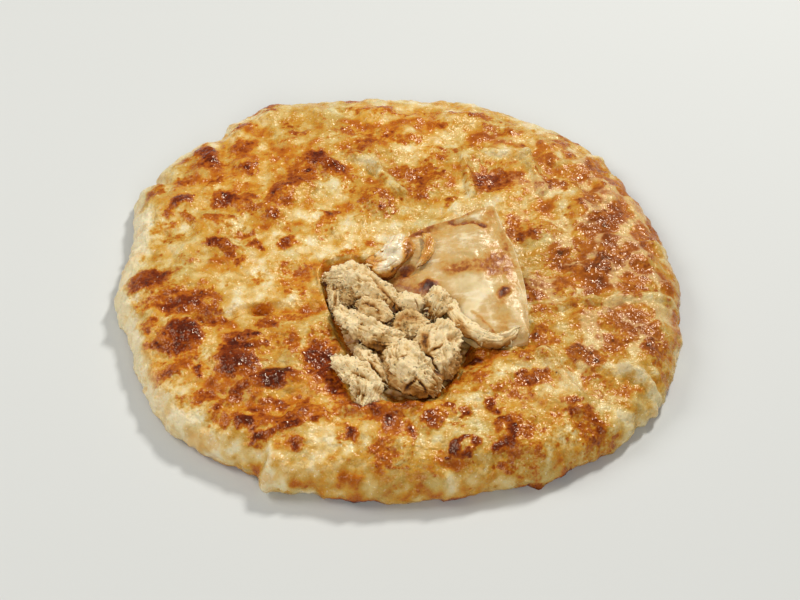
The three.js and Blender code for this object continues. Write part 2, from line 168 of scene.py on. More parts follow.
# Browned patches: middle x and y, half length, half width, turn in degrees, darkness from 0 to 1.
BROWNED = [
    (-69, 120, 5, 3, 0, .8), (-83, 109, 6, 4, 30, .6), (-101, 84, 6, 14, 20, .8),
    (-84, 88, 7, 5, 0, .6), (-112, 64, 10, 3, 60, .5), (-112, 46, 6, 6, 0, .95),
    (-118, 38, 4, 3, 0, .6), (-128, 53, 10, 4, 60, .6), (-91, 62, 4, 4, 0, .55),
    (-90, 45, 9, 5, 0, .8), (-108, 33, 5, 3, 0, .55), (-91, 30, 9, 5, 0, .6),
    (-78, 21, 5, 3, 0, .6), (-115, 20, 8, 5, 0, .5), (-90, 10, 9, 4, 0, .8), (-73, 12, 4, 3, 0, .8),
    (-57, 12, 5, 5, 0, .8), (-78, 0, 5, 5, 0, .55), (-68, -11, 5, 4, 0, .55),
    (-50, 66, 16, 9, 65, .6), (-62, 46, 12, 8, 55, .6), (-42, 76, 7, 4, 0, .8),
    (-64, 33, 4, 3, 0, .6), (-35, 34, 3, 3, 0, .75), (-38, 27, 6, 5, 0, .5),
    (-12, 40, 14, 14, 0, .45), (-28, 122, 8, 4, 0, .55), (-30, 102, 8, 5, 0, .5),
    (-60, 108, 4, 3, 0, .55), (-15, 95, 12, 8, 0, .4), (-125, -10, 12, 8, 0, .95),
    (-113, -5, 5, 4, 0, .7), (-118, -25, 18, 6, 10, .65), (-98, -25, 10, 6, 0, .65),
    (-109, -29, 8, 4, 0, .8), (-121, -40, 5, 5, 0, .6), (-105, -50, 12, 11, 0, .85),
    (-116, -56, 9, 2.5, -40, .6), (-108, -71, 6, 3, 0, .55), (-78, -68, 12, 10, -10, 1),
    (-77, -50, 8, 3, 0, .6), (-62, -46, 6, 3, 0, .6), (-52, -58, 4, 7, 0, .6),
    (-58, -79, 16, 6, 8, .8), (-38, -66, 10, 12, 0, .85), (-30, -84, 5, 10, 30, .75),
    (-18, -96, 8, 3, -20, .65), (-99, -86, 5, 3, 0, .55), (-90, -90, 6, 4, 0, .6),
    (-84, -96, 3, 3, 0, .75), (-82, -105, 5, 3, 0, .4), (-68, -98, 6, 4, 0, .6),
    (-60, -93, 4, 3, 0, .55), (-46, -95, 5, 4, 0, .6), (-72, -107, 4, 3, 0, .9),
    (-63, -113, 7, 3.5, -20, .95), (-52, -109, 9, 3, 15, .9), (-40, -104, 4, 3, 0, .85),
    (-46, -118, 4, 3, 0, .6), (-24, -115, 4, 5, 0, .8), (-8, -122, 8, 5, 0, .6),
    (5, -97, 6, 4, 0, .65), (23, -99, 4, 3, 0, .75), (31, -101, 3, 3, 0, .75), (42, -98, 4, 3, 0, .8),
    (15, -107, 5, 6, 0, .85), (28, -107, 4, 3, 0, .6), (22.6, -126, 2, 1.6, 0, .95),
    (48, -107, 4, 3, 0, .6), (46, -121, 3, 3, 0, .9),
    (50, -117, 3, 4, 0, .85), (50, -111, 3, 2.5, 0, .8),
    (60, -110, 18, 12, 0, .4), (55, -135, 8, 3, 0, .5), (88, -113, 6, 6, 0, .35),
    (80, -93, 4, 3, 0, .6), (62, -78, 9, 4, 0, .65), (68, -38, 8, 8, 0, .55), (68, -52, 9, 6, 0, .5),
    (92, -80, 22, 10, -15, .36), (85, -60, 8, 5, 0, .6), (122, -52, 9, 18, 0, .5),
    (100, -33, 5, 3, 0, .6), (5, 92, 9, 5, 0, .55), (20, 107, 6, 4, 0, .55), (5, 116, 8, 3, 0, .5),
    (38, 116, 12, 5, 0, .55), (48, 107, 5, 3, 0, .55), (30, 86, 15, 3, 0, .5), (20, 78, 6, 4, 0, .5),
    (33, -66, 5, 4, 0, .9), (-28, 6, 8, 3, 30, .5), (-12, 12, 8, 4, 0, .45), (-48, -20, 3, 5, 0, .45),
    (-46, -36, 5, 4, 0, .4), (10, 65, 14, 9, 0, .55), (43, 60, 10, 12, 0, .6),
    (26, 44, 3, 6, -30, .6), (60, 62, 6, 5, 0, .5),
    (85, 95, 6, 4, -40, .55), (90, 85, 5, 4, 0, .5), (97, 74, 6, 6, 0, .5), (95, 47, 6, 5, 0, .5),
    (100, 40, 6, 5, 0, .5), (56, 25, 5, 12, 0, .55), (65, 18, 4, 5, 0, .75), (104, 27, 4, 3, 0, .6),
    (80, 2, 8, 6, 0, .5), (100, 0, 5, 8, 0, .5), (112, 5, 12, 8, 0, .2), (125, 0, 5, 12, 0, .25),
    (118, -15, 9, 2, 0, .5), (112, -24, 9, 2, 0, .5), (68, -15, 5, 8, 0, .5),
    (25.5, -121, 2.5, 4, 0, .9), (34.5, -120.5, 2.5, 4, 0, .9), (30, -116.5, 4, 1.8, 0, .8),
    (30, -125.5, 4, 1.8, 0, .8), (-69, 134, 8, 6, 0, .65), (-80, 126, 7, 5, 30, .55),
    (-62, 91, 5, 3, 0, .45), (-54, 99, 9, 4, 0, .5), (-79, 69, 9, 6, -20, .5), (-35, 70, 7, 7, 0, .7),
    (-27, 60, 5, 11, 10, .5), (-23, 82, 9, 6, 0, .4), (-106, 2, 6, 4, 0, .6), (-120, 28, 8, 5, 0, .45),
    (-48, -5, 6, 6, 0, .42), (-57, -3, 4, 4, 0, .4), (-55, -23, 4, 6, 0, .5), (-96, 57, 4, 7, 0, .55),
    (-79, 42, 5, 8, 0, .6), (-72, 38, 5, 4, 0, .5), (-9, 119, 9, 6, 0, .5), (-90, -35, 5, 6, 0, .6),
    (-101, -33, 14, 4, -5, .4), (-77, -58, 8, 4, 0, .55), (-70, -56, 12, 3, 5, .5),
    (-58, -41, 14, 4, 0, .42), (-102, -64, 7, 7, 0, .5), (-94, -74, 3, 3, 0, .7),
    (-116, -72, 7, 14, 30, .4), (-76, -87, 9, 4, 25, .6), (-33, -58, 6, 6, 0, .45),
    (-35, -46, 9, 6, -20, .5), (-22, -98, 17, 8, -10, .44), (-51, -102, 20, 4, 12, .55),
    (-86, -100, 5, 3, 0, .45), (-79, -103, 4, 3, 0, .5), (-56, -95, 3, 2, 0, .7),
    (-97, -91, 10, 4, 0, .4), (-13, -103, 5, 5, 0, .45), (-5, -109, 5, 5, 0, .5),
    (63, -83, 10, 6, 0, .36), (88, -98, 6, 4, 0, .5), (90, -104, 10, 7, -10, .55),
    (80, -100, 3, 4, 0, .5), (100, -55, 8, 7, -20, .5), (90, -66, 10, 7, 0, .45),
    (64, -61, 12, 9, 0, .36), (84, -31, 11, 6, -10, .42), (68, -21, 12, 8, 0, .55),
    (107, -45, 10, 3, 0, .4), (47, -91, 9, 8, 0, .42),
    (36, -76, 11, 8, 0, .42), (23, -82, 9, 4, 25, .65),
    (46, -60, 12, 5, 0, .4), (-2, -109, 6, 12, 0, .42), (5, -115, 2.5, 9, 0, .75),
    (-6, -129, 9, 4, 0, .5), (55, -124, 12, 6, 0, .42), (58, 105, 10, 8, 0, .42),
    (10, 53, 10, 9, 0, .42), (-1, 68, 9, 5, 0, .45), (68, 53, 6, 9, 0, .35), (73, 60, 5, 9, 0, .5),
    (81, 104, 5, 3, 0, .7), (63, 92, 5, 4, 0, .45), (76, 77, 8, 6, 0, .5), (82, 58, 12, 6, 10, .5),
    (76, 26, 16, 10, 0, .35), (86, 10, 6, 4, 0, .4), (83, -3, 14, 5, -8, .42),
    (109, -2, 12, 14, 0, .32), (124, 21, 5, 4, 0, .6), (118, 42, 4, 5, 0, .4), (106, 63, 6, 4, 0, .5),
    (106, 75, 5, 4, 0, .5), (48, 64, 11, 14, 0, .45),
]

# Wide areas a little darker or paler than the rest: x, y, half length, half width, turn, shade.
# # Most are the dough's own tone; one is painted shadow.
SHADES = [
    (-80, 60, 50, 50, 0, .1), (0, 95, 60, 30, 0, .14), (-12, 40, 30, 20, 0, .08),
    (98, 50, 35, 55, 0, .36), (108, -20, 32, 60, 0, .38), (-70, 60, 60, 45, 0, .06),
    (-128, -15, 14, 60, 0, -.14), (85, -80, 45, 26, 0, .02),
    (10, -100, 60, 18, 0, .04), (-90, -50, 45, 45, 0, .12), (-55, -95, 45, 22, 0, .14),
    (-138, -5, 10, 60, 0, -.25), (-140, 40, 12, 40, 0, -.25), (20, -134, 90, 14, 0, .14),
    (-105, -92, 40, 12, -48, -.16), (112, -98, 40, 12, 45, -.1),
    (82, 47, 6, 13, -20, -.3), (83, 36, 3.5, 16, -20, -.25), (45, -73, 12, 8, 0, -.2),
    (-45, -45, 14, 10, 0, -.2), (-82, -32, 22, 5, 0, -.2), (-60, -25, 10, 8, 0, -.12),
    # Painted shadow: the row at 5, -97 below darkens the crust at the front of the heap of chicken,
    # where the heap shades it.
    (-95, -105, 22, 12, -40, -.15), (-50, -10, 16, 14, 0, .06), (5, -97, 34, 7, 0, .18),
    (44, -62, 14, 7, -10, .24),
]

# What lies on single pieces of chicken: x, y, half length, half width, turn, depth, stain: a
# # darkening that is partly real stain and partly painted shade in dents and along the lines where two
# # pieces touch.
MARKS = {
    "chicken_back": [
        (-4.4, -37.4, 9, 3.5, -40, 0.4, 0.5), (-24, -15.7, 2, 1.5, 0, 0.8, 0.5),
        (-30, -19, 8, 4, -15, -0.4, -0.25), (-11.8, -24, 7, 0.7, -50, 1.2, 0.5),
        (-8, -30, 6, 0.6, -50, 0.9, 0.5), (-18, -23, 5, 0.6, -30, 0.8, 0.4)],
    "chicken_left": [(-31.4, -21.7, 2.2, 2.2, 0, 1.2, 0.9), (-31.5, -31, 0.8, 6, 0, 1, 0.6)],
    "chicken_inner": [
        (-13.8, -39.3, 2.2, 1.2, -20, 1.8, 1), (-16.4, -37.1, 1.8, 1, 20, 1.6, 0.9),
        (-11, -42, 1.6, 0.8, -60, 1.2, 0.8)],
    "chicken_front": [
        (-11.5, -60.8, 6, 3, 8, 0.8, 0.6), (-20.3, -55.8, 3, 3, 0, 0.5, 0.45),
        (-3.5, -63.5, 5, 2, 0, 0.5, 0.5), (-19, -51.1, 1.2, 0.5, 0, 0.6, 0.9)],
    "chicken_smooth": [(8.4, -36.6, 2.6, 0.35, -50, 1.4, 1), (3.4, -32.9, 5, 3, 0, -0.2, -0.3)],
    "chicken_knob": [(12.8, -38.5, 2, 4, 0, 0.5, 0.6), (17.5, -33, 2, 2, 0, 0.4, 0.2)],
    "chicken_flat": [(4.9, -54.8, 0.8, 3.5, 0, -1.6, -0.4), (4, -47, 8, 5, 0, 0.2, 0.3)],
    "chicken_right": [
        (17.2, -66.5, 4, 0.6, 40, 1.5, 0.9), (24.6, -60, 2.2, 2.2, 0, 1.6, 0.6),
        (22, -80, 5, 0.6, 70, 0.9, 0.5),
        (11.6, -61, 1.8, 6, 6, 0.8, 1), (14.6, -74, 1.8, 7, 25, 0.8, 1)],
    "chicken_large": [
        (11.4, -64, 1.8, 6, 8, 1, 1), (15.4, -75, 1.8, 7, 30, 1, 1),
        (5.4, -72.6, 4, 1.8, 0, -0.6, -0.3), (1.3, -75, 2, 0.8, 10, 1.6, 0.8),
        (7.3, -92, 5, 2.2, 5, 0.4, 0.6), (3.8, -88.2, 3, 0.5, 15, 1.5, 0.9),
        (9.9, -87.8, 2.6, 0.5, -35, 1.4, 0.9)],
    "chicken_pale": [
        (-19.5, -82.5, 5.5, 0.6, -40, 1.6, 0.9), (-20.4, -92, 1.8, 2.4, -10, 2.2, 0.8),
        (-9.8, -90.6, 2.5, 1.8, 0, 0.4, 0.7)],
    "chicken_low": [
        (-14.5, -72.8, 3, 1.4, -30, 0.9, 0.9), (-11.9, -77, 3.5, 1.4, -35, 0.9, 0.8),
        (-7.3, -82.5, 3, 2, 0, 0.6, 0.8)],
    "chicken_finger": [
        (24.3, -39.1, 1.8, 1.4, 0, 0.5, 0.8), (28, -48, 2, 3, 40, 0.4, 0.6),
        (40, -62, 10, 2.6, -12, 0.3, 0.8),
        (52, -59, 6, 2, 30, 0.2, 0.7), (30, -53, 5, 2, -45, 0.2, 0.7)],
    "chicken_skin": [
        (2.5, -1, 11, 2, 78, -0.6, 0.75), (-1, -12, 4, 2.5, 0, 0, 0.6), (-12, -9, 5, 3, 20, 0, 0.4),
        (-6, 7.5, 0.7, 0.7, 0, 0.5, 1.3), (-8.5, -3, 0.7, 0.7, 0, 0.5, 1.3)],
    "dough_curl": [(14.5, 4, 5, 2, 80, 0, 0.45), (12, 11, 3, 2, 0, 0, 0.3), (9, -9, 3, 2, 0, 0, -0.3)],
}

# How much darker single pieces are all over: partly the meat's own tone, partly painted shade on
# # pieces that lie deep in the heap, such as chicken_shaded.
TONES = {
    "chicken_flat": 0.16, "chicken_shaded": 0.4, "chicken_inner": 0.1, "chicken_low": 0.14,
    "chicken_smooth": -0.2, "chicken_pale": -0.1, "chicken_front": -0.06, "chicken_knob": 0.06,
    "chicken_left": 0.1, "dough_curl": 0.3, "chicken_finger": -0.12,
}

# Pleats and folds of the crust at its rim: from x and y, to x and y, half width, height.
PLEATS = [
    (119, -77, 121, -88, 1.7, 1.6), (121, -69, 127, -79, 1.7, 1.6), (111, -83, 109, -94, 1.7, 1.1),
    (101, -96, 95, -111, 2, 1.7), (-60, -113, -61, -131, 1.6, 1.2), (-128, 30, -138, 24, 2, 1.5),
    (-130, 10, -138, 8, 2, 1.3), (-128, -20, -137, -24, 2, 1.2), (-126, 60, -136, 58, 2, 1.5),
    (-98, 96, -108, 104, 2, 1.5), (130, 20, 137, 22, 2, 1.3), (128, 45, 133, 47, 2, 1.2),
    (104, 90, 110, 95, 2, 1.2),
]

# The flap: places x, y, half length, half width, turn, browning and crispness of their border, and
# lines of folds from x and y, to x and y, half width, height and browning. The places FLAP_BUMPS
# also stand up, and the place FLAP_HOLLOW is sunk.
FLAP_BUMPS = (0, 2)
FLAP_HOLLOW = 13
FLAP_PLACES = [
    (14.4, -20, 4.2, 3.6, 0, 0.7, 1), (11, -20.5, 5, 3.6, 0, 0.3, 1), (50.5, -28.5, 3, 3, 0, 0.7, 1),
    (29, -12.3, 7, 3.2, -10, 0.5, 1), (38, -8.5, 6, 3, 0, 0.42, 1), (46.5, -5, 5, 6, 0, 0.42, 1),
    (44, -14.6, 6, 4, 0, 0.42, 1), (53, -14, 4, 12, 0, 0.34, 1), (15, 13.5, 10, 4, 20, 0.3, 1),
    # Painted sheen: the rows at 35, -34 and 33, -22 have negative browning, which paints a milky pale
    # patch where the wet dough shines.
    (44, 18.5, 4.5, 9, -12, 0.22, 2), (2, -17, 9, 6, -45, 0.22, 1), (35, -34, 6, 9, -45, -0.2, 1),
    (49, -42, 3.5, 13, 0, 0.2, 2), (3, -9, 4.6, 3, 0, 0.6, 1.5), (20, -6, 8, 6, 0, 0.1, 1),
    (33, -22, 8, 4, -20, -0.24, 1), (28, 8, 14, 1.6, 5, -0.07, 1),
    (40, 12, 9, 5, 20, 0.12, 1), (52, 6, 3, 12, 0, 0.2, 1), (28, -30, 4, 3, 0, 0.2, 1),
]
FLAP_LINES = [
    (25.5, 19, 31, 18.6, 1.2, -1, 0.34), (31, 18.6, 36.5, 18, 1.3, -1.3, 0.42),
    (36.5, 18, 41.5, 14.6, 1.2, -1.2, 0.42), (25.5, 20.2, 33, 22.9, 1.8, 1.2, 0.3),
    (33, 22.9, 40, 26, 1.6, 1.0, 0.4), (4, 10.5, 16, 17.5, 1.6, 1.1, 0.26),
    (16, 17.5, 25.5, 20.2, 1.6, 1.1, 0.3), (47, 29, 50.5, 11, 0.8, 0.6, -0.1),
    (41, 24, 38, 18, 1, 0.4, -0.1), (30, 6, 47, 4.5, 1, 0.5, -0.06),
    (25, -1.5, 37, -3, 1, 0.4, -0.06), (27, 9, 40, 10, 1, 0.4, -0.05),
    (20, -12, 28, -14, 1, 0.4, 0.1), (-5, -12, 8, -13, 1, 0.5, 0.1), (-2, -16, 8, -20, 1, 0.5, 0.12),
    (6, -22, 18, -29, 1, 0.5, 0.1), (14, -26, 24, -36, 1.2, 0.6, 0.1),
    (35, -38, 45, -51, 0.8, 0.3, 0.3), (40, -18, 47, -34, 1.4, 0.5, -0.1),
]

# Stretches of the rim by degrees anticlockwise from +X: 0 before the first and after the last angle,
# 1 between the middle two.
LOW_ARC = (160, 185, 332, 352)  # where the crust sinks towards the cut
HIGH_ARC = (78, 92, 142, 156)  # where it stands up in a lip
FOLD_ARC = (242.4, 244.6, 245, 258)  # where the rim steps out
FOLD_GAP_ANGLE, FOLD_GAP_SPREAD = 242, 1.2
FLAKE_ANGLE, FLAKE_SPREAD, FLAKE_REACH = 297.2, 1.3, 4.5

RAGGED_BORDER = 3.4  # how far clouds shift the borders of browned patches
BLISTER_HEIGHT = 1.6  # of browned patches over the dough around them
SMOOTH_BROWNING = 0.21  # of the dough between the patches
PALEST_SHADE = -0.4
HIDDEN_BROWNING, UNDERSIDE_BROWNING = 0.6, 0.12

CRUST_COLUMNS = 720
FILLING_COLUMNS = 360
FLAP_ROWS, FLAP_ACROSS = 240, 110
CHICKEN_ROWS, CHICKEN_COLUMNS = 190, 150
MIDDLE_RING, FLAT_RING = 60, 110  # nominal radii of rings on the flat faces
SHRED_RINGS, SHRED_SIDES, SHRED_COUNT = 6, 5, 70

CLOUD_CORNERS = 256  # random directions, a power of two
CLOUD_GAIN = 1.7  # brings the clouds to about -1 to 1
SEED_STEP, SLICE_STEP = 17.13, 41.7  # from one seed's cloud or slice to the next, in cells or mm
GOLDEN_ANGLE = 2.399963
WAVE_COUNT = 5


# ---------------------------------------------------------------- numbers for surfaces


def smooth_step(value, low, high):
    """0 below low, 1 above high, and t*t*(3 - 2t) between them."""
    t = np.clip((value - low) / (high - low), 0, 1)
    return t * t * (3 - 2 * t)


def arc(degrees, stretch):
    """How far angles are in a stretch of four angles."""
    start, full, ends, gone = stretch
    return smooth_step(degrees, start, full) * smooth_step(degrees, gone, ends)


def around(table, degrees):
    """A smooth closed curve through a table of (degrees, value): between two rows it is the cubic
    whose end slopes are those of the lines through each row's two neighbours."""
    angle = np.array([row[0] for row in table], float)
    value = np.array([row[1] for row in table], float)
    angle = np.concatenate([angle - 360, angle, angle + 360])
    value = np.tile(value, 3)
    degrees = np.mod(degrees, 360)
    i = np.searchsorted(angle, degrees, side="right") - 1
    span = angle[i + 1] - angle[i]
    t = (degrees - angle[i]) / span
    slope_in = (value[i + 1] - value[i - 1]) / (angle[i + 1] - angle[i - 1]) * span
    slope_out = (value[i + 2] - value[i]) / (angle[i + 2] - angle[i]) * span
    return (
        (2 * t**3 - 3 * t**2 + 1) * value[i] + (t**3 - 2 * t**2 + t) * slope_in
        + (3 * t**2 - 2 * t**3) * value[i + 1] + (t**3 - t**2) * slope_out
    )


def curve(points, t):
    """Places and unit directions at t from 0 to 1 on the centripetal curve through the points. Each
    point's knot is the square root of the distance further than the last."""
    p = np.array(points, float)
    p = np.vstack([2 * p[0] - p[1], p, 2 * p[-1] - p[-2]])
    knots = np.sqrt(np.linalg.norm(np.diff(p, axis=0), axis=1))[:, None]
    place = np.clip(np.asarray(t, float), 0, 1) * (len(p) - 3)
    i = np.minimum(place.astype(int), len(p) - 4)
    w = (place - i)[:, None]
    a, b, c, d = p[i], p[i + 1], p[i + 2], p[i + 3]
    ka, kb, kc = knots[i], knots[i + 1], knots[i + 2]
    slope_b = ((b - a) / ka - (c - a) / (ka + kb) + (c - b) / kb) * kb
    slope_c = ((c - b) / kb - (d - b) / (kb + kc) + (d - c) / kc) * kb
    second = -3 * b + 3 * c - 2 * slope_b - slope_c
    third = 2 * b - 2 * c + slope_b + slope_c
    way = slope_b + 2 * second * w + 3 * third * w**2
    way /= np.linalg.norm(way, axis=1)[:, None]
    return b + slope_b * w + second * w**2 + third * w**3, way


def waves(x, y, length, seed):
    """The mean of five sine waves. Their directions step by the golden angle and their lengths
    shorten a little from one to the next."""
    total = 0
    for k in range(WAVE_COUNT):
        turn = GOLDEN_ANGLE * (k + 1) + seed
        number = 2 * math.pi / length * (0.75 + 0.15 * k)
        total = total + np.sin(number * (x * math.cos(turn) + y * math.sin(turn)) + seed * (3 + k))
    return total / WAVE_COUNT


def blob(x, y, mark):
    """Squared distance from a mark's middle, counted in its half length and half width."""
    cx, cy, long, wide, turn = mark[:5]
    c, s = math.cos(math.radians(turn)), math.sin(math.radians(turn))
    u = ((x - cx) * c + (y - cy) * s) / long
    v = ((y - cy) * c - (x - cx) * s) / wide
    return u * u + v * v


def away_from(x, y, line):
    """Distance from a line, which starts and ends at its first four numbers, counted in its half
    width."""
    ax, ay, bx, by, wide = line[:5]
    dx, dy = bx - ax, by - ay
    t = np.clip(((x - ax) * dx + (y - ay) * dy) / (dx * dx + dy * dy), 0, 1)
    return np.hypot(x - ax - t * dx, y - ay - t * dy) / wide


def relief(x, y):
    """Height that the lumps, ridges and broad waves add to the smooth top: waves, plus each lump
    times exp(-d^3), plus each ridge times exp(-d^2), where d is the distance over the half width."""
    height = BROAD_WAVE * waves(x, y, BROAD_LENGTH, 1.3) + SHORT_WAVE * waves(x, y, SHORT_LENGTH, 4.1)
    for lump in LUMPS:
        height = height + lump[5] * np.exp(-blob(x, y, lump) ** 1.5)
    for line in RIDGES:
        height = height + line[5] * np.exp(-away_from(x, y, line) ** 2)
    return height


_draw = np.random.default_rng(11)
SHUFFLE = np.tile(_draw.permutation(CLOUD_CORNERS), 2)
WAYS = _draw.normal(size=(CLOUD_CORNERS, 3))
WAYS /= np.linalg.norm(WAYS, axis=1)[:, None]


def cloud(points, size, seed=0):
    """Soft random values, about -1 to 1, whose lumps are size apart. Each corner of a cube of that
    size has a random direction; its dot products with the way from the corner are blended by
    t*t*t*(6tt - 15t + 10)."""
    p = np.asarray(points, float) / size + seed * SEED_STEP
    cell = np.floor(p).astype(int)
    f = p - cell
    fade = f * f * f * (f * (f * 6 - 15) + 10)
    total = np.zeros(p.shape[:-1])
    for corner in np.ndindex(2, 2, 2):
        x, y, z = ((cell[..., k] + corner[k]) & (CLOUD_CORNERS - 1) for k in range(3))
        way = WAYS[SHUFFLE[SHUFFLE[SHUFFLE[x] + y] + z]]
        weight = np.prod([fade[..., k] if corner[k] else 1 - fade[..., k] for k in range(3)], axis=0)
        total += weight * np.sum(way * (f - corner), axis=-1)
    return CLOUD_GAIN * total


def clouds(points, size, seed=0, octaves=3):
    """Clouds of ever half the size and half the height, added up."""
    return sum(0.5**k * cloud(points, size * 0.5**k, seed + 3 * k) for k in range(octaves))


def plane(x, y, seed=0.0):
    """Places on a flat slice through the clouds."""
    return np.stack([x, y, np.full_like(x, SLICE_STEP * seed)], axis=-1)


def normals(grid):
    """Unit normals of a grid of rows by closed columns: the cross product of the way to the next
    column and the way to the next row."""
    across = np.roll(grid, -1, axis=1) - np.roll(grid, 1, axis=1)
    along = np.gradient(grid, axis=0)
    normal = np.cross(across, along)
    return normal / np.maximum(np.linalg.norm(normal, axis=-1, keepdims=True), 1e-9)


# ---------------------------------------------------------------- meshes


def ring_faces(rows, columns):
    """Corner lists of the quads between closed rings, and of the triangle fans that close the two
    ends on one point each. The points are the rings' in order, then the two end points."""
    r, c = np.meshgrid(np.arange(rows - 1), np.arange(columns), indexing="ij")
    after = (c + 1) % columns
    quads = np.stack([r * columns + c, r * columns + after, (r + 1) * columns + after,
                      (r + 1) * columns + c], axis=-1).reshape(-1, 4)
    c = np.arange(columns)
    after = (c + 1) % columns
    start = np.stack([np.full(columns, rows * columns), after, c], axis=-1)
    last = (rows - 1) * columns
    end = np.stack([np.full(columns, rows * columns + 1), last + c, last + after], axis=-1)
    return quads, np.vstack([start, end])


def closed(grid):
    """The points of a grid of rings, with the middle of its first and of its last ring."""
    return np.vstack([grid.reshape(-1, 3), grid[0].mean(axis=0), grid[-1].mean(axis=0)])


def spread(values, shape):
    """Values on a grid of rings as one list, with the two end points' own."""
    values = np.broadcast_to(values, shape)
    return np.concatenate([values.ravel(), [values[0].mean(), values[-1].mean()]])


def make_piece(context, name, points, quads, triangles, fields, finish, node):
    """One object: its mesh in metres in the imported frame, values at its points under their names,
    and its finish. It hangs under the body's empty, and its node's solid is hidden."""
    mesh = bpy.data.meshes.new(name)
    mesh.vertices.add(len(points))
    mesh.vertices.foreach_set("co", ((points - MIDDLE) * MM).astype(np.float32).ravel())
    corners = np.concatenate([quads.ravel(), triangles.ravel()]).astype(np.int32)
    mesh.loops.add(len(corners))
    mesh.loops.foreach_set("vertex_index", corners)
    starts = np.concatenate([
        4 * np.arange(len(quads)), 4 * len(quads) + 3 * np.arange(len(triangles))])
    mesh.polygons.add(len(starts))
    mesh.polygons.foreach_set("loop_start", starts.astype(np.int32))
    mesh.polygons.foreach_set("use_smooth", np.ones(len(starts), bool))
    mesh.update(calc_edges=True)
    if mesh.validate():
        raise RuntimeError(f"{name} has faces that can't be used")
    for field, values in fields.items():
        layer = mesh.attributes.new(field, "FLOAT", "POINT")
        layer.data.foreach_set("value", np.asarray(values, np.float32))
    piece = bpy.data.objects.new(name, mesh)
    context.scene.collection.objects.link(piece)
    mesh.materials.append(finish)
    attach(piece, BODY)
    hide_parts(node)


# ---------------------------------------------------------------- finishes


class Wire:
    """One output of a node. Sums written with it add Math nodes."""

    def __init__(self, finish, socket):
        self.finish, self.socket = finish, socket

    def sum(self, operation, *values):
        return self.finish.add("ShaderNodeMath", {"operation": operation}, dict(enumerate(values)))

    def __add__(self, other): return self.sum("ADD", self, other)
    def __radd__(self, other): return self.sum("ADD", other, self)
    def __sub__(self, other): return self.sum("SUBTRACT", self, other)
    def __rsub__(self, other): return self.sum("SUBTRACT", other, self)
    def __mul__(self, other): return self.sum("MULTIPLY", self, other)
    def __rmul__(self, other): return self.sum("MULTIPLY", other, self)

    def step(self, low, high):
        """0 below low and 1 above high, smooth between; low may be the larger."""
        return self.finish.add(
            "ShaderNodeMapRange", {"interpolation_type": "SMOOTHSTEP"},
            {"Value": self, "From Min": low, "From Max": high, "To Min": 0.0, "To Max": 1.0})


class Finish:
    """A material of nodes that ends in one Principled shader."""

    def __init__(self, name):
        self.material = bpy.data.materials.new(name)
        self.material.use_nodes = True
        self.tree = self.material.node_tree
        self.tree.nodes.clear()
        self.place = self.add("ShaderNodeTexCoord", output="Object")

    def add(self, kind, settings=None, sockets=None, output=0):
        """A node of a kind: its settings first, a ramp's stops among them, then its sockets."""
        node = self.tree.nodes.new(kind)
        for key, value in (settings or {}).items():
            if key == "stops":
                ramp = node.color_ramp.elements
                while len(ramp) < len(value):
                    ramp.new(1.0)
                for stop, (position, colour) in zip(ramp, value):
                    stop.position = position
                    stop.color = (*colour, 1.0)
            else:
                setattr(node, key, value)
        for key, value in (sockets or {}).items():
            if isinstance(value, Wire):
                self.tree.links.new(value.socket, node.inputs[key])
            else:
                node.inputs[key].default_value = value
        return Wire(self, node.outputs[output])

    def noise(self, size, detail=3.0, roughness=0.55, place=None):
        """Noise whose lumps are about size millimetres across, from 0 to 1."""
        return self.add("ShaderNodeTexNoise", None, {
            "Vector": place or self.place, "Scale": 0.5 / (size * MM), "Detail": detail,
            "Roughness": roughness})

    def cells(self, size, output="Distance", place=None):
        """Distance from the middle of a random cell, 0 to about 1, for cells size millimetres wide,
        or the random colour of each cell."""
        return self.add("ShaderNodeTexVoronoi", None, {
            "Vector": place or self.place, "Scale": 1 / (size * MM)}, output)

    def moved(self, size, amount):
        """The place moved about by noise whose lumps are size across, by amount millimetres."""
        cloud = self.add("ShaderNodeTexNoise", None, {
            "Vector": self.place, "Scale": 0.5 / (size * MM), "Detail": 3.0}, "Color")
        return self.add("ShaderNodeVectorMath", {"operation": "MULTIPLY_ADD"}, {
            0: cloud, 1: (2 * amount * MM,) * 3, 2: self.place})

    def stretched(self, factors):
        """The place with each direction multiplied, which shortens what is drawn along it."""
        return self.add("ShaderNodeVectorMath", {"operation": "MULTIPLY"},
                        {0: self.place, 1: factors})

    def field(self, name):
        """A value that the mesh carries."""
        return self.add("ShaderNodeAttribute", {"attribute_name": name}, output="Fac")

    def colours(self, value, stops):
        return self.add("ShaderNodeValToRGB", {"stops": stops}, {"Fac": value}, "Color")

    def blend(self, share, one, other, kind="MIX"):
        """From one colour to the other by a share. Inputs 6 and 7 and output 2 are the colours."""
        one, other = (c if isinstance(c, Wire) else (*c, 1.0) for c in (one, other))
        return self.add("ShaderNodeMix", {"data_type": "RGBA", "blend_type": kind},
                        {0: share, 6: one, 7: other}, 2)

    def bump(self, height, depth, strength):
        """A bump of a height from 0 to 1 that is depth millimetres deep."""
        return self.add("ShaderNodeBump", None, {
            "Height": height, "Distance": depth * MM, "Strength": strength})

    def end(self, depth=(0, 0, 0), **sockets):
        """The Principled shader and the material's output. Light goes into it by a depth in
        millimetres for each of red, green and blue."""
        named = {key.replace("_", " "): value for key, value in sockets.items()}
        named["Subsurface Radius"] = tuple(value * MM for value in depth)
        named["Subsurface Scale"] = 1.0
        shader = self.add("ShaderNodeBsdfPrincipled", None, named)
        output = self.tree.nodes.new("ShaderNodeOutputMaterial")
        self.tree.links.new(shader.socket, output.inputs["Surface"])
        return self.material


def tint(red, green, blue):
    """A colour as a screen shows it, 0 to 255, as the linear values that materials take."""
    return tuple((value / 255) ** 2.2 for value in (red, green, blue))


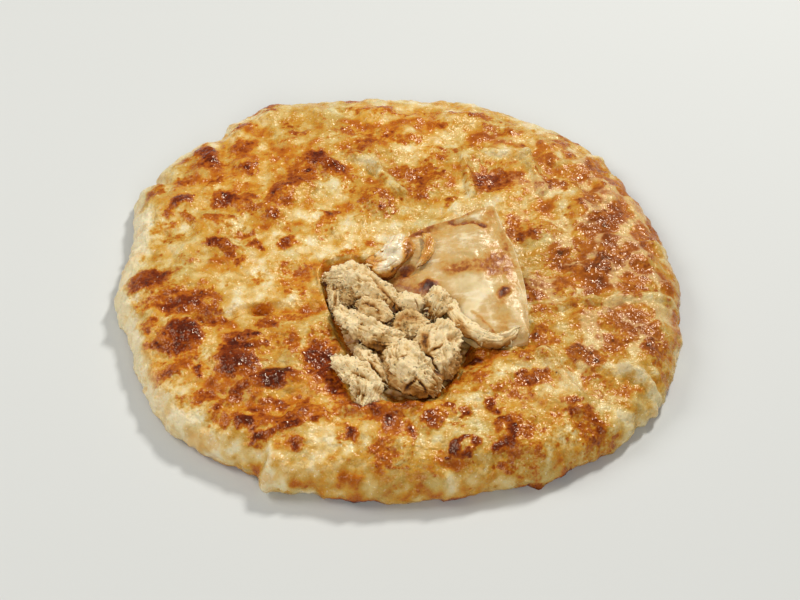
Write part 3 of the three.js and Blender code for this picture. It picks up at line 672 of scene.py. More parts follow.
def crust_finish(colours):
    """Baked dough: cream and buttery between browned patches. The browning that the mesh carries is
    broken up by noise and by the dots of random cells, and looked up in a row of colours from flour
    to dark brown. Where the mesh is veined, a net of pale creases lies over what isn't browned.
    Bubbles and grains stand on it."""
    f = Finish("baked_crust")
    browning = f.field("browning")
    pale = f.field("pale")
    patch = f.field("patch")
    wide = f.noise(8.0, 3.0, 0.55) - 0.5
    coarse = f.noise(3.4, 5.0, 0.62) - 0.5
    fine = f.noise(1.1, 3.0, 0.6) - 0.5
    grain_size, bubble_size, spot_size, fleck_size = 1.5, 3.0, 7.5, 15.0
    grain = f.cells(grain_size)
    bubble = f.cells(bubble_size)
    dots = bubble.step(0.5, 0.12) * f.cells(bubble_size, "Color").step(0.35, 1.0)
    spots = f.cells(spot_size).step(0.42, 0.06) * f.cells(spot_size, "Color").step(0.4, 0.95)
    border = patch * 1.12 + coarse * 0.85 + fine * 0.34 + dots * 0.12 + spots * 0.42 - pale * 0.2
    halo = border.step(0.03, 0.44)
    rough = coarse * 0.2 + fine * 0.22 + dots * 0.12 + (0.38 - grain) * 0.2
    base = browning + wide * 0.5 + coarse * 0.22 + fine * 0.14 + dots * 0.14 - pale * 0.1
    veins = f.cells(11.0, place=f.moved(7.0, 6.0)).step(0.54, 0.74) * f.field("veined")
    baked = (base * (1 - 0.5 * halo) - veins * 0.2 + rough * halo + halo * 0.24
             + border.step(0.34, 0.62) * 0.2 + border.step(0.62, 1.0) * 0.32)
    colour = f.colours(baked, [
        (0.0, colours.flour), (0.16, colours.cream), (0.32, colours.butter), (0.42, colours.golden),
        (0.51, colours.orange), (0.66, colours.brown), (0.84, colours.russet), (1.0, colours.dark)])
    broad = f.noise(22.0, 2.0)
    colour = f.blend(broad.step(0.4, 0.66) * 0.5, colour, tint(220, 212, 160), "MULTIPLY")
    amber = f.noise(6.5, 3.0, 0.6).step(0.52, 0.64) * baked.step(0.6, 0.3)
    colour = f.blend(amber * 0.45, colour, tint(208, 148, 44))
    olive = f.noise(10.0, 3.0, 0.6).step(0.54, 0.66) * baked.step(0.6, 0.3)
    colour = f.blend(olive * 0.4, colour, tint(184, 164, 96))
    flecks = f.cells(fleck_size).step(0.05, 0.03) * f.cells(fleck_size, "Color").step(0.45, 0.7)
    colour = f.blend(flecks * 0.85, colour, colours.char)
    # Painted glints: tiny near-white specks on the paler dough stand in for light sparkling on its wet
    # lumps.
    painted_glints = f.noise(0.7, 1.0).step(0.66, 0.74) * baked.step(0.5, 0.2)
    colour = f.blend(painted_glints * 0.5, colour, tint(250, 238, 212))
    colour = f.blend(f.field("veined") * 0.14, colour, tint(150, 112, 54))
    colour = f.blend(veins * baked.step(0.8, 0.45) * 0.36, colour, tint(230, 208, 156))
    colour = f.blend(pale * 0.45, colour, colours.flour)
    bumps = (1 - bubble) * 0.5 + (1 - grain) * 0.25 + f.noise(1.0, 2.0, 0.5) * 0.25
    return f.end(
        Base_Color=colour,
        Roughness=0.3 - 0.1 * baked.step(0.3, 0.8) + fine * 0.3 + pale * 0.2,
        Specular_IOR_Level=0.4,
        Specular_Tint=(1.0, 0.84, 0.62, 1.0),
        Subsurface_Weight=0.15,
        depth=(1.2, 0.5, 0.2),
        Normal=f.bump(bumps, 1.3, 0.9),
    )


def flap_finish(colours):
    """The folded flap: thin, pale, half see-through dough with granular browned and burnt places."""
    f = Finish("flap_dough")
    browning = f.field("browning")
    coarse = f.noise(3.2, 4.0, 0.6) - 0.5
    fine = f.noise(1.0, 3.0, 0.6) - 0.5
    baked = browning + (coarse * 0.9 + fine * 1.1) * (0.14 + browning * 0.9) + 0.03
    # The palest, milky stop is reached at the painted sheen rows of FLAP_PLACES.
    colour = f.colours(baked, [
        (0.0, tint(235, 215, 170)), (0.12, colours.dough), (0.28, tint(198, 156, 88)),
        (0.42, tint(188, 132, 64)), (0.56, tint(160, 92, 40)), (0.76, tint(118, 62, 36)),
        (1.0, tint(72, 38, 34))])
    olive = f.noise(9.0, 3.0, 0.6).step(0.42, 0.66) * baked.step(0.5, 0.2)
    colour = f.blend(olive * 0.6, colour, tint(192, 164, 106))
    streaks = f.noise(3.0, 4.0, 0.6, f.stretched((0.4, 1.3, 1.0)))
    colour = f.blend(streaks.step(0.52, 0.7) * baked.step(0.4, 0.1) * 0.6, colour, tint(242, 230, 198))
    dust = f.cells(2.2).step(0.14, 0.07) * f.cells(2.2, "Color").step(0.6, 0.75)
    colour = f.blend(dust * 0.35, colour, colours.ochre)
    bumps = f.noise(3.4, 4.0, 0.6) * 0.8 + f.noise(1.0, 2.0) * 0.3
    return f.end(
        Base_Color=colour,
        Roughness=0.34 + coarse * 0.3 + fine * 0.2,
        Specular_IOR_Level=0.45,
        Specular_Tint=(1.0, 0.9, 0.74, 1.0),
        Subsurface_Weight=0.25,
        depth=(1.5, 0.7, 0.3),
        Normal=f.bump(bumps, 1.0, 0.8),
    )


def chicken_finish(colours):
    """Torn boiled chicken: pale cream, with fine dark flecks of herbs. It turns ochre and dark where
    the mesh carries stain and shade (real stains, and painted shade below and between the pieces)
    and in its hollows, which are painted shade."""
    f = Finish("torn_chicken")
    stain = f.field("stain")
    hollow = f.field("hollow")
    strands = f.noise(1.4, 4.0, 0.65) - 0.5
    soft = f.noise(5.0, 3.0) - 0.5
    # The hollow field is painted shade in creases and pits; the stain field holds real stains and
    # painted shade below and between the pieces.
    tone = stain * 0.85 + hollow * 0.65 + strands * 0.3 + soft * 0.34
    colour = f.colours(tone, [
        (0.0, colours.chicken), (0.3, colours.chicken_warm), (0.62, colours.ochre),
        (1.0, colours.gravy)])
    sown = f.noise(9.0, 2.0).step(0.38, 0.58)
    herbs = f.noise(0.9, 1.5, 0.6).step(0.6, 0.68) * sown
    colour = f.blend(herbs * 0.75, colour, colours.herb)
    bumps = f.noise(0.8, 4.0, 0.7) * 0.7 + f.noise(0.35, 2.0) * 0.3
    return f.end(
        Base_Color=colour,
        Roughness=0.6 + strands * 0.3,
        Specular_IOR_Level=0.35,
        Subsurface_Weight=0.15,
        depth=(1.0, 0.5, 0.25),
        Normal=f.bump(bumps, 0.6, 0.8),
    )


def skin_finish(colours):
    """Soft chicken skin and unbaked dough: cream-white and wet, orange-brown where the mesh carries
    stain and painted shade, and in its hollows, which are painted shade.
    """
    f = Finish("moist_skin")
    stain = f.field("stain")
    hollow = f.field("hollow")
    soft = f.noise(3.0, 4.0, 0.6) - 0.5
    colour = f.colours(stain + hollow * 0.5 + soft * 0.35, [
        (0.0, colours.skin), (0.3, tint(220, 172, 92)), (0.6, tint(194, 126, 48)),
        (1.0, tint(112, 62, 22))])
    herbs = f.cells(3.2).step(0.14, 0.06) * f.cells(3.2, "Color").step(0.6, 0.7)
    colour = f.blend(herbs * 0.7, colour, colours.herb)
    return f.end(
        Base_Color=colour,
        Roughness=0.26 + soft * 0.3,
        Specular_IOR_Level=0.5,
        Subsurface_Weight=0.3,
        depth=(3.0, 1.6, 0.8),
        Normal=f.bump(f.noise(1.2, 3.0, 0.6), 0.5, 0.8),
    )


def filling_finish(colours):
    """Shredded chicken in gravy: olive-brown, wet, paler on its ridges."""
    f = Finish("gravy_filling")
    height = f.field("height")
    strands = f.noise(1.8, 4.0, 0.65)
    colour = f.colours(height * 0.6 + strands * 0.5, [
        (0.15, colours.gravy), (0.5, colours.ochre), (0.85, colours.chicken_warm)])
    return f.end(
        Base_Color=colour,
        Roughness=0.22 + 0.35 * strands,
        Subsurface_Weight=0.1,
        depth=(2.0, 1.0, 0.5),
        Normal=f.bump(strands, 0.7, 0.9),
    )


# ---------------------------------------------------------------- the crust


def plan(radius, degrees):
    """The pie seen from above. A nominal radius runs from 0 at the opening's centre through
    OPENING_RADIUS at the cut, and then along a straight line to PIE_RADIUS at the edge."""
    c, s = np.cos(np.radians(degrees)), np.sin(np.radians(degrees))
    cut = around(OPENING, degrees)
    edge = around(EDGE, degrees)
    lip_x, lip_y = OPENING_CENTRE[0] + cut * c, OPENING_CENTRE[1] + cut * s
    inside = np.minimum(radius / OPENING_RADIUS, 1)
    t = np.maximum(radius - OPENING_RADIUS, 0) / (PIE_RADIUS - OPENING_RADIUS)
    x = OPENING_CENTRE[0] + (lip_x - OPENING_CENTRE[0]) * inside + (edge * c - lip_x) * t
    y = OPENING_CENTRE[1] + (lip_y - OPENING_CENTRE[1]) * inside + (edge * s - lip_y) * t
    return x, y


def crown(radius):
    """Height of the smooth top: 5 + 18 sqrt(1 - (r/140)^8)."""
    t = np.minimum(1, radius / PIE_RADIUS)
    return BULGE_HEIGHT + (PIE_HEIGHT - BULGE_HEIGHT) * np.sqrt(1 - t**CROWN_POWER)


def browning_at(points):
    """How far the dough is browned between its patches, 0 to about 1, and the strength of the
    patches: one minus the product of what each patch leaves pale. Clouds shift the places first, so
    that the patches have ragged borders. Along raised ridges and pleats the dough is painted paler
    and along sunken ridges darker: painted light on the crests and painted shade in the hollows."""
    x, y = points[..., 0], points[..., 1]
    wx = x + RAGGED_BORDER * clouds(points, 10, 5, 4)
    wy = y + RAGGED_BORDER * clouds(points, 10, 6, 4)
    pale = np.ones_like(x)
    for patch in BROWNED:
        away = blob(wx, wy, patch)
        pale = pale * (1 - patch[5] * (0.8 * np.exp(-away**2.2) + 0.2 * np.exp(-away / 2.5)))
    shade = np.zeros_like(x)
    for area in SHADES:
        shade = shade + area[5] * np.exp(-blob(x, y, area) ** 1.3)
    mottle = 0.26 * cloud(points, 14, 7) + 0.22 * clouds(points, 6, 8, 2)
    # Painted light and shade on the folds: paler along raised ridges and pleats, darker along sunken
    # ridges.
    painted_fold_light_and_shade = np.zeros_like(x)
    for line in RIDGES + PLEATS:
        painted_fold_light_and_shade = painted_fold_light_and_shade + np.sign(line[5]) * np.exp(-away_from(x, y, line) ** 2)
    between = np.maximum(shade, PALEST_SHADE) + mottle + SMOOTH_BROWNING - 0.2 * painted_fold_light_and_shade
    return between, 1 - pale


def crust_detail(points, radius):
    """Unevenness of the dough along its normal: lumps, thin raised and sunken creases where two
    clouds are near zero, bubbles, a sharp crest with a groove at its foot along each ridge, and
    upright folds and pleats at the rim."""
    x, y = points[..., 0], points[..., 1]
    flat = plane(x, y, 5)
    lumps = 1.3 * cloud(points, 12, 1) + 0.9 * clouds(points, 6, 2, 2)
    where = smooth_step(cloud(flat, 26, 3), -0.1, 0.4)
    ridges = np.exp(-(clouds(flat, 17, 4, 2) / 0.07) ** 2) * where
    sunk = np.exp(-(clouds(flat, 15, 9, 2) / 0.07) ** 2) * (1 - where)
    bubbles = 0.9 * np.maximum(0, cloud(points, 3.8, 5) - 0.1) + 0.5 * np.abs(cloud(points, 2.8, 6))
    folds = clouds(points * (1, 1, 0.2), 13, 14, 2) * smooth_step(radius, 122, 136)
    pleats = sum(line[5] * np.exp(-away_from(x, y, line) ** 2) for line in PLEATS)
    sharp = 0
    for line in RIDGES:
        away = away_from(x, y, line)
        crest = np.exp(-((2.2 * away) ** 2)) - 0.6 * np.exp(-(((away - 1.2) / 0.4) ** 2))
        sharp = sharp + 0.5 * line[5] * crest
    return lumps + sharp + 0.8 * ridges - 0.6 * sunk + bubbles + 1.2 * folds + 1.2 * pleats


def crust_grid(columns):
    """Rings of the crust: the flat underside, the rounded side, the top, the cut and the hollow
    inside. Each ring has a nominal radius, a height, its shares of the relief and detail, and how
    far it goes inwards and down on the slope inside the cut."""
    side = np.linspace(0, math.pi / 2, 8)
    rings = [(MIDDLE_RING, 0, 0, 0, 0, 0), (FLAT_RING, 0, 0, 0, 0, 0)]
    rings += [(UNDERSIDE_RADIUS + (PIE_RADIUS - UNDERSIDE_RADIUS) * math.sin(t),
               BULGE_HEIGHT * (1 - math.cos(t)), 0, smooth_step(t, 0.25, 0.9), 0, 0) for t in side]
    for r in np.concatenate([PIE_RADIUS - RIM_WIDTH * np.linspace(0.01, 1, 20) ** 1.7,
                             np.linspace(PIE_RADIUS - RIM_WIDTH, OPENING_RADIUS + 0.9, 76)[1:]]):
        rings.append((r, crown(r), smooth_step(PIE_RADIUS - r, 0, RIM_WIDTH), 1, 0, 0))
    r, top = OPENING_RADIUS, crown(OPENING_RADIUS)
    rings += [
        (r + 0.3, top - 0.3, 1, 0.9, 0, 0), (r, top - 0.9, 0.95, 0.8, 0.05, 0),
        (r, top - 1.6, 0.85, 0.8, 0.18, 0.4), (r, top - 2.1, 0.8, 0.8, 0.4, 1.1),
        (r, top - 2.6, 0.75, 0.7, 0.7, 2), (r, top - 3, 0.7, 0.5, 1, 2.8),
        (r + 0.1, top - 3.3, 0.66, 0.2, 1.05, 3.6), (r + 0.4, top - 3.5, 0.63, 0, 0.5, 2.4),
        (r + 1, top - TOP_CRUST, 0.6, 0, 0, 0)]
    for r in np.linspace(OPENING_RADIUS + 3, PIE_RADIUS - 1.6 * SIDE_CRUST, 7):
        rings.append((r, crown(r) - TOP_CRUST, UNDER_SHARE, 0, 0, 0))
    inner = PIE_RADIUS - SIDE_CRUST
    rings += [(inner, BULGE_HEIGHT, 0, 0, 0, 0), (inner - 4, BASE_CRUST, 0, 0, 0, 0),
              (MIDDLE_RING, BASE_CRUST, 0, 0, 0, 0)]
    radius, height, share, detail, inwards, down = (np.array(part)[:, None] for part in zip(*rings))
    degrees = np.arange(columns)[None, :] * 360 / columns
    low, high = arc(degrees, LOW_ARC), arc(degrees, HIGH_ARC)
    x, y = plan(radius, degrees)
    z = height + share * relief(x, y) - down * (high + 0.7 * low)
    slope = inwards * (7.5 * high + 6.5 * low)
    x = x - slope * np.cos(np.radians(degrees))
    y = y - slope * np.sin(np.radians(degrees))
    return np.stack([x, y, z], axis=-1), radius, degrees, detail, inwards, low, high


def make_crust(context):
    """The whole crust as one closed shell. Near the cut its top sinks on the left and below, and
    stands up in a thin lip at the upper left. At the front left its edge steps out in a fold, and a
    flake of dough sticks out at its foot on the right."""
    sizes, colours = context.scene.pie_sizes, context.scene.pie_colours
    grid, radius, degrees, detail, inwards, low, high = crust_grid(CRUST_COLUMNS)
    x = grid[..., 0]
    browning, patch = browning_at(grid)
    beyond = np.maximum(radius - OPENING_RADIUS, 0)
    outer = (detail > 0) * 1.0
    grid[..., 2] += outer * (1.2 * np.exp(-((beyond / 2.2) ** 2)) * high
                             - sizes.lip_sink / MM * np.exp(-((beyond / 7.0) ** 2)) * low)
    amount = crust_detail(grid, radius) + BLISTER_HEIGHT * np.clip(patch - 0.25, 0, 0.6)
    amount = sizes.lump_depth / MM * detail * amount
    edge = smooth_step(radius, 118, 134)
    fold = arc(degrees, FOLD_ARC)
    gap = np.exp(-(((degrees - FOLD_GAP_ANGLE) / FOLD_GAP_SPREAD) ** 2))
    foot = smooth_step(grid[..., 2], 6, 1)
    flake = np.exp(-(((degrees - FLAKE_ANGLE) / FLAKE_SPREAD) ** 2))
    flake = flake * smooth_step(grid[..., 2], 3.4, 1.2) * edge
    amount = amount + edge * (1.8 * fold - 1.6 * gap) * outer * (1 - 0.6 * foot) + FLAKE_REACH * flake
    grid = grid + normals(grid) * amount[..., None]
    grid[..., 2] = np.maximum(grid[..., 2], 0)
    rim = smooth_step(radius, 131, 140)
    pale = np.clip(rim * smooth_step(-x, 70, 120), 0, 1) * outer
    cut = np.exp(-((radius - OPENING_RADIUS) / 3.0) ** 2) * outer
    foot = foot * (0.3 + 0.6 * cloud(grid, 16, 12))
    # Painted shade: inside the cut the dough is browner the further in it lies.
    slope = 0.45 + 0.3 * inwards + 0.3 * cloud(grid, 5, 15)
    browning = browning + 0.12 * cut * (low + high) + foot + 0.4 * flake - 0.15 * edge * fold
    inside = smooth_step(inwards, 0.02, 0.3)
    hidden = np.where(grid[..., 2] > 1, HIDDEN_BROWNING, UNDERSIDE_BROWNING)
    browning = np.where(detail > 0, browning * (1 - inside) + slope * inside, hidden)
    quads, triangles = ring_faces(*x.shape)
    fields = {
        "browning": spread(np.clip(browning, -0.3, 1.2), x.shape),
        "pale": spread(pale, x.shape),
        "patch": spread(patch * (detail > 0) * (1 - 0.7 * inside), x.shape),
        "veined": spread(smooth_step(x, 40, 85) * smooth_step(grid[..., 1], -105, -70), x.shape),
    }
    make_piece(context, "pie_crust", closed(grid), quads, triangles, fields,
               crust_finish(colours), "crust")


# ---------------------------------------------------------------- the flap


def make_flap(context):
    """The folded-back corner of the crust. Its middle sheet is the line from the fold to the free
    edge, raised by FLAP_ROLL sin(pi * 1.15 v) and by waves that grow towards the edge; its two faces
    are half its thickness to either side, and each row of points goes out on the top face and back
    on the lower one."""
    sizes, colours = context.scene.pie_sizes, context.scene.pie_colours
    u = np.linspace(0, 1, FLAP_ROWS)
    fold, _ = curve(FLAP_FOLD, u)
    edge, _ = curve(FLAP_TIP, u)
    v = np.concatenate([np.linspace(0, 1, FLAP_ACROSS), np.linspace(1, 0, FLAP_ACROSS)])[None, :]
    face = np.repeat([1.0, -1.0], FLAP_ACROSS)[None, :]
    end = np.minimum(1, np.minimum(v, 1 - v) / 0.025)
    half = 0.5 * FLAP_THICKNESS * np.sqrt(1 - (1 - end) ** 2 + 1e-6)
    grid = fold[:, None, :] + (edge - fold)[:, None, :] * v[..., None]
    x, y = grid[..., 0], grid[..., 1]
    roll = FLAP_ROLL * np.sin(np.pi * np.minimum(1, 1.15 * v))
    grid[..., 2] += roll + FLAP_WAVE * v * waves(x, y, FLAP_LENGTH, 7.7)
    flat = plane(x, y, 9)
    wx = x + 1.5 * clouds(flat, 5, 21, 3)
    wy = y + 1.5 * clouds(flat, 5, 22, 3)
    loose = smooth_step(v, 0.04, 0.2) * np.ones_like(x)
    wrinkles = 0.5 * cloud(flat, 9, 23) + 0.35 * clouds(flat, 4.5, 24, 2)
    wrinkles += 0.3 * cloud(np.stack([x + 0.2 * y, 4 * y, 0 * x], axis=-1), 9, 25)
    browning = 0.1 + 0.1 * clouds(flat, 8, 26, 3)
    for place in FLAP_PLACES:
        browning = browning + place[5] * np.exp(-blob(wx, wy, place) ** place[6])
    raised, sunk, darker, paler = (np.zeros_like(x) for _ in range(4))
    for line in FLAP_LINES:
        share = np.exp(-away_from(x + 0.3 * (wx - x), y + 0.3 * (wy - y), line) ** 2)
        raised, sunk = np.maximum(raised, line[5] * share), np.minimum(sunk, line[5] * share)
        darker, paler = np.maximum(darker, line[6] * share), np.minimum(paler, line[6] * share)
    browning = browning + darker + paler
    bumps = 1.5 * sum(np.exp(-blob(x, y, FLAP_PLACES[k]) ** 1.5) for k in FLAP_BUMPS)
    hollow = -1.6 * np.exp(-blob(x, y, FLAP_PLACES[FLAP_HOLLOW]) ** 2)
    grid[..., 2] += (loose * (sizes.lump_depth / MM) * wrinkles + bumps
                     + loose * (raised + sunk + hollow))
    grid[..., 2] += face * half
    rim = smooth_step(v, 0.96, 1.0) * smooth_step(u[:, None], 0.1, 0.2)
    browning = browning - 0.1 * rim - 0.05 * (face < 0)
    grid, browning = grid[:, ::-1], browning[:, ::-1]  # so that the faces point outwards
    quads, triangles = ring_faces(*browning.shape)
    fields = {"browning": spread(browning, browning.shape)}
    make_piece(context, "crust_flap", closed(grid), quads, triangles, fields,
               flap_finish(colours), "crust")


# ---------------------------------------------------------------- the filling


def make_filling(context):
    """The layer of filling through the whole pie. In the opening it is heaped and shredded: clouds
    drawn out into strands, about a millimetre deep, with rounder ones on them."""
    colours = context.scene.pie_colours
    inner = PIE_RADIUS - SIDE_CRUST - 2 * GAP
    rings = [(MIDDLE_RING, BASE_CRUST + GAP, 0, 0), (inner - 4, BASE_CRUST + GAP, 0, 0),
             (inner, BULGE_HEIGHT, 0, 0)]
    for r in np.linspace(PIE_RADIUS - 1.6 * SIDE_CRUST, OPENING_RADIUS + 3, 9):
        rings.append((r, crown(r) - TOP_CRUST - GAP, UNDER_SHARE, 0))
    for t in np.concatenate([[0.95], np.linspace(0.9, 0.04, 90)]):
        mound = BED_MOUND * min(1, 2 * (1 - t))
        rings.append((OPENING_RADIUS * t, BED_HEIGHT + mound, 0.5, smooth_step(t, 0.97, 0.85)))
    radius, height, share, detail = (np.array(part)[:, None] for part in zip(*rings))
    x, y = plan(radius, np.arange(FILLING_COLUMNS)[None, :] * 360 / FILLING_COLUMNS)
    drawn = np.stack([x * 0.35, y, 0 * x], axis=-1)
    strands = cloud(drawn, 1.6, 31) + clouds(plane(x, y, 13), 4, 32, 3)
    z = height + share * relief(x, y) + detail * (strands - 0.4)
    grid = np.stack([x, y, z], axis=-1)
    quads, triangles = ring_faces(*x.shape)
    fields = {"height": spread(np.clip(0.5 + 0.4 * strands, 0, 1), x.shape)}
    make_piece(context, "pie_filling", closed(grid), quads, triangles, fields,
               filling_finish(colours), "filling")


# ---------------------------------------------------------------- torn chicken


def torn_piece(name, seed):
    """The smooth body of a piece, as its solid has it: rings round the spine, with the half width
    and half height times (1 - |2s - 1|^2.6)^0.55 and an uneven factor. Returns the rings, the
    spine's direction at each, the share s of the spine's length and the turn round it."""
    spine, width, height, rough = CHICKEN[name]
    s = (1 - np.cos(np.linspace(0.02, math.pi - 0.02, CHICKEN_ROWS))) / 2
    turn = -np.linspace(0, 2 * math.pi, CHICKEN_COLUMNS, endpoint=False)[None, :]
    middle, way = curve(spine, s)
    side = np.cross(way, (0, 0, 1))
    side /= np.linalg.norm(side, axis=1)[:, None]
    top = np.cross(side, way)
    blunt = (1 - np.abs(2 * s - 1) ** 2.6) ** 0.55
    lump = 1 + 1.8 * rough * waves(6 * s[:, None] + seed, 2 * np.cos(turn) + np.sin(2 * turn), 4, seed)
    reach = lump * blunt[:, None]
    grid = (middle[:, None] + side[:, None] * (0.5 * width * reach * np.cos(turn))[..., None]
            + top[:, None] * (0.5 * height * reach * np.sin(turn))[..., None])
    return grid, way, s, turn


def make_chicken(context, name, seed, finish):
    """A torn piece: its smooth body moved along its normals by lumps, creased billows, strands that
    follow the spine, grains and pits, and frayed at its sides and ends. Loose shreds stand on it."""
    sizes = context.scene.pie_sizes
    spine, width, height, _ = CHICKEN[name]
    skin = name in SKINS
    grid, way, s, turn = torn_piece(name, seed)
    top_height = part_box(name)[1][2] / MM
    swell = 0.8 if name == "chicken_skin" else 0
    grid[..., 2] += top_height - 1.4 * swell - grid[..., 2].max()
    length = np.sum(np.linalg.norm(np.diff(np.array(spine, float), axis=0), axis=1))
    along = (s * length)[:, None] * np.ones((1, CHICKEN_COLUMNS))
    wrap = 0.25 * (width + height)
    drawn = np.stack([along / 5, wrap * np.cos(turn) + 0 * along, wrap * np.sin(turn) + 0 * along], -1)
    small = min(1.0, width / 12)
    lumps = 1.5 * small * cloud(grid, 8, seed) + 1.1 * small * cloud(grid, 4, seed + 1)
    sheets = cloud(drawn * (0.7, 1, 1), 4.6, seed + 2)
    layers = 0.6 * small * (smooth_step(sheets, -0.02, 0.08) - 0.5)
    ledges = np.exp(-(((sheets + 0.06) / 0.07) ** 2))
    chips = 0.55 * small * smooth_step(cloud(grid, 2.7, seed + 20), 0.1, 0.2)
    split = cloud(drawn * (0.5, 1, 1), 3.4, seed + 21)
    torn = smooth_step(cloud(grid, 9, seed + 22), -0.05, 0.35)
    creases = -0.8 * small * torn * np.exp(-((split / 0.07) ** 2)) - 0.25 * small * ledges
    fibres = sizes.fibre_depth / MM * (cloud(drawn, 1.2, seed + 3) + 0.6 * cloud(drawn, 0.6, seed + 4))
    grains = 0.6 * cloud(grid, 2.2, seed + 5) + 0.35 * cloud(grid, 1.1, seed + 6)
    pits = -0.8 * smooth_step(cloud(grid, 2.0, seed + 7), 0.34, 0.55)
    crumbly = smooth_step(cloud(grid, 8, seed + 30), -0.3, 0.2)
    torn_rate = SMOOTHER_RATE if name in SMOOTHER else 1.0
    rate = torn_rate * (0.55 + 0.6 * crumbly)
    edge = np.abs(np.cos(turn)) ** 6 * np.ones_like(along)
    fray = 1.1 * edge * (cloud(grid, 1.6, seed + 8) + 0.6 * cloud(grid, 0.8, seed + 9))
    stain, dents = np.zeros_like(along), np.zeros_like(along)
    x, y = grid[..., 0], grid[..., 1]
    upper = smooth_step(grid[..., 2] - grid[..., 2].mean(axis=1, keepdims=True), -1.0, 1.5)
    for mark in MARKS.get(name, ()):
        spot = np.exp(-blob(x, y, mark) ** 1.5) * upper
        dents = dents - mark[5] * spot
        stain = stain + mark[6] * spot
    amount = lumps + layers + creases + rate * (chips + fibres + grains + pits + fray) + dents
    grid = grid + normals(grid) * (amount + swell)[..., None]
    from_middle = (2 * s - 1)[:, None]
    ragged = 2.0 * torn_rate * np.abs(from_middle) ** 8 * cloud(drawn * (0.0, 1, 1), 1.2, seed + 10)
    grid = grid + way[:, None] * (ragged * np.sign(from_middle))[..., None]
    depth = top_height - grid[..., 2]
    begins = -0.5 if name == "chicken_finger" else 0.0
    # Painted shade: darker on the side of a piece that faces down and on its parts well below its top,
    # where the pieces shade each other.
    painted_shade_below = smooth_step(-np.sin(turn), begins, begins + 0.8) + 0.7 * smooth_step(depth, 4.0, 8.5)
    # The stain field gathers real stains from the marks and tones, the painted shade below, random
    # clouds, and a paler tone where torn layers stand up.
    stain = stain + TONES.get(name, 0) + 0.8 * painted_shade_below + 0.25 * cloud(grid, 8, seed + 11) - 0.12 * layers
    stain = np.clip(stain, -0.3, 1.2)
    # Painted shade: darker in the creases, pits, fibres and grains.
    hollow = np.clip(-0.7 * creases - 0.5 * rate * (pits + fibres + grains), 0, 1)
    points, quads, triangles = closed(grid), *ring_faces(*along.shape)
    fields = {"stain": spread(stain, along.shape), "hollow": spread(hollow, along.shape)}
    if not skin:
        extra = shreds(grid, way, seed, sizes.shred_length / MM)
        points, quads, triangles, fields = joined((points, quads, triangles, fields), extra)
    make_piece(context, PIECE_NAMES.get(name, "torn_" + name), points, quads, triangles,
               fields, finish, name)


def shreds(grid, way, seed, length):
    """Short tapering shreds that stand on a piece: from a random point of its upper half each one
    leaves along the spine and the surface's normal and droops with the square of its length."""
    draw = np.random.default_rng(seed)
    normal = normals(grid)
    r, c = np.nonzero(normal[..., 2] > -0.2)
    count = SHRED_COUNT
    pick = draw.choice(len(r), count)
    r, c = r[pick], c[pick]
    root, out = grid[r, c], normal[r, c]
    along = way[r] * draw.choice([-1, 1], count)[:, None] + 0.5 * draw.normal(size=(count, 3))
    lean = along + 0.35 * out
    lean /= np.linalg.norm(lean, axis=1)[:, None]
    reach = length * draw.uniform(0.35, 1.0, count)[:, None, None]
    t = np.linspace(0, 1, SHRED_RINGS)[None, :, None]
    path = (root - 0.3 * out)[:, None] + lean[:, None] * reach * t
    path = path - np.array([0, 0, 1.0]) * reach * 0.35 * t**2
    across = np.cross(lean, out)
    across /= np.linalg.norm(across, axis=1)[:, None]
    up = np.cross(across, lean)
    angle = np.linspace(0, 2 * math.pi, SHRED_SIDES, endpoint=False)
    wide = draw.uniform(0.3, 0.8, count)[:, None, None, None] * (1 - 0.85 * t[..., None])
    tube = path[:, :, None] + wide * (across[:, None, None] * np.cos(angle)[:, None]
                                      + 0.45 * up[:, None, None] * np.sin(angle)[:, None])
    points = np.vstack([closed(one) for one in tube])
    first = np.arange(count)[:, None, None] * (SHRED_RINGS * SHRED_SIDES + 2)
    quads, triangles = (
        (faces + first).reshape(-1, faces.shape[1]) for faces in ring_faces(SHRED_RINGS, SHRED_SIDES))
    pale = np.full(len(points), 0.05)
    return points, quads, triangles, {"stain": pale, "hollow": 0 * pale}


def joined(one, other):
    """Two lots of points, quads, triangles and fields as one."""
    first = len(one[0])
    return (np.vstack([one[0], other[0]]), np.vstack([one[1], other[1] + first]),
            np.vstack([one[2], other[2] + first]),
            {key: np.concatenate([one[3][key], other[3][key]]) for key in one[3]})


# ---------------------------------------------------------------- the stage


# Lights: their place and diameter in metres, power in watts. All look at the origin.
LIGHTS = {
    "window": ((0.6, 0.8, 1.1), 0.24, 16.3),
    "fill_left": ((-0.9, 0.1, 0.9), 0.7, 7.0),
    "fill_front": ((0.1, -1.1, 0.8), 0.7, 6.0),
}
LIGHT_COLOUR = (1.0, 0.98, 0.95)
SKY_COLOUR, SKY_STRENGTH = (0.95, 0.95, 0.94, 1), 0.2
FLOOR_HALF = 4.0
FLOOR_CLOUD = (0.6, 0.6, 0.6)
LENS, SENSOR = 100.0, 36.0
CAMERA_AIM = np.array([0.00077, -0.01568, 0.010])
CAMERA_DISTANCE = 1.1001
CLIP_START, CLIP_END = 0.05, 20.0


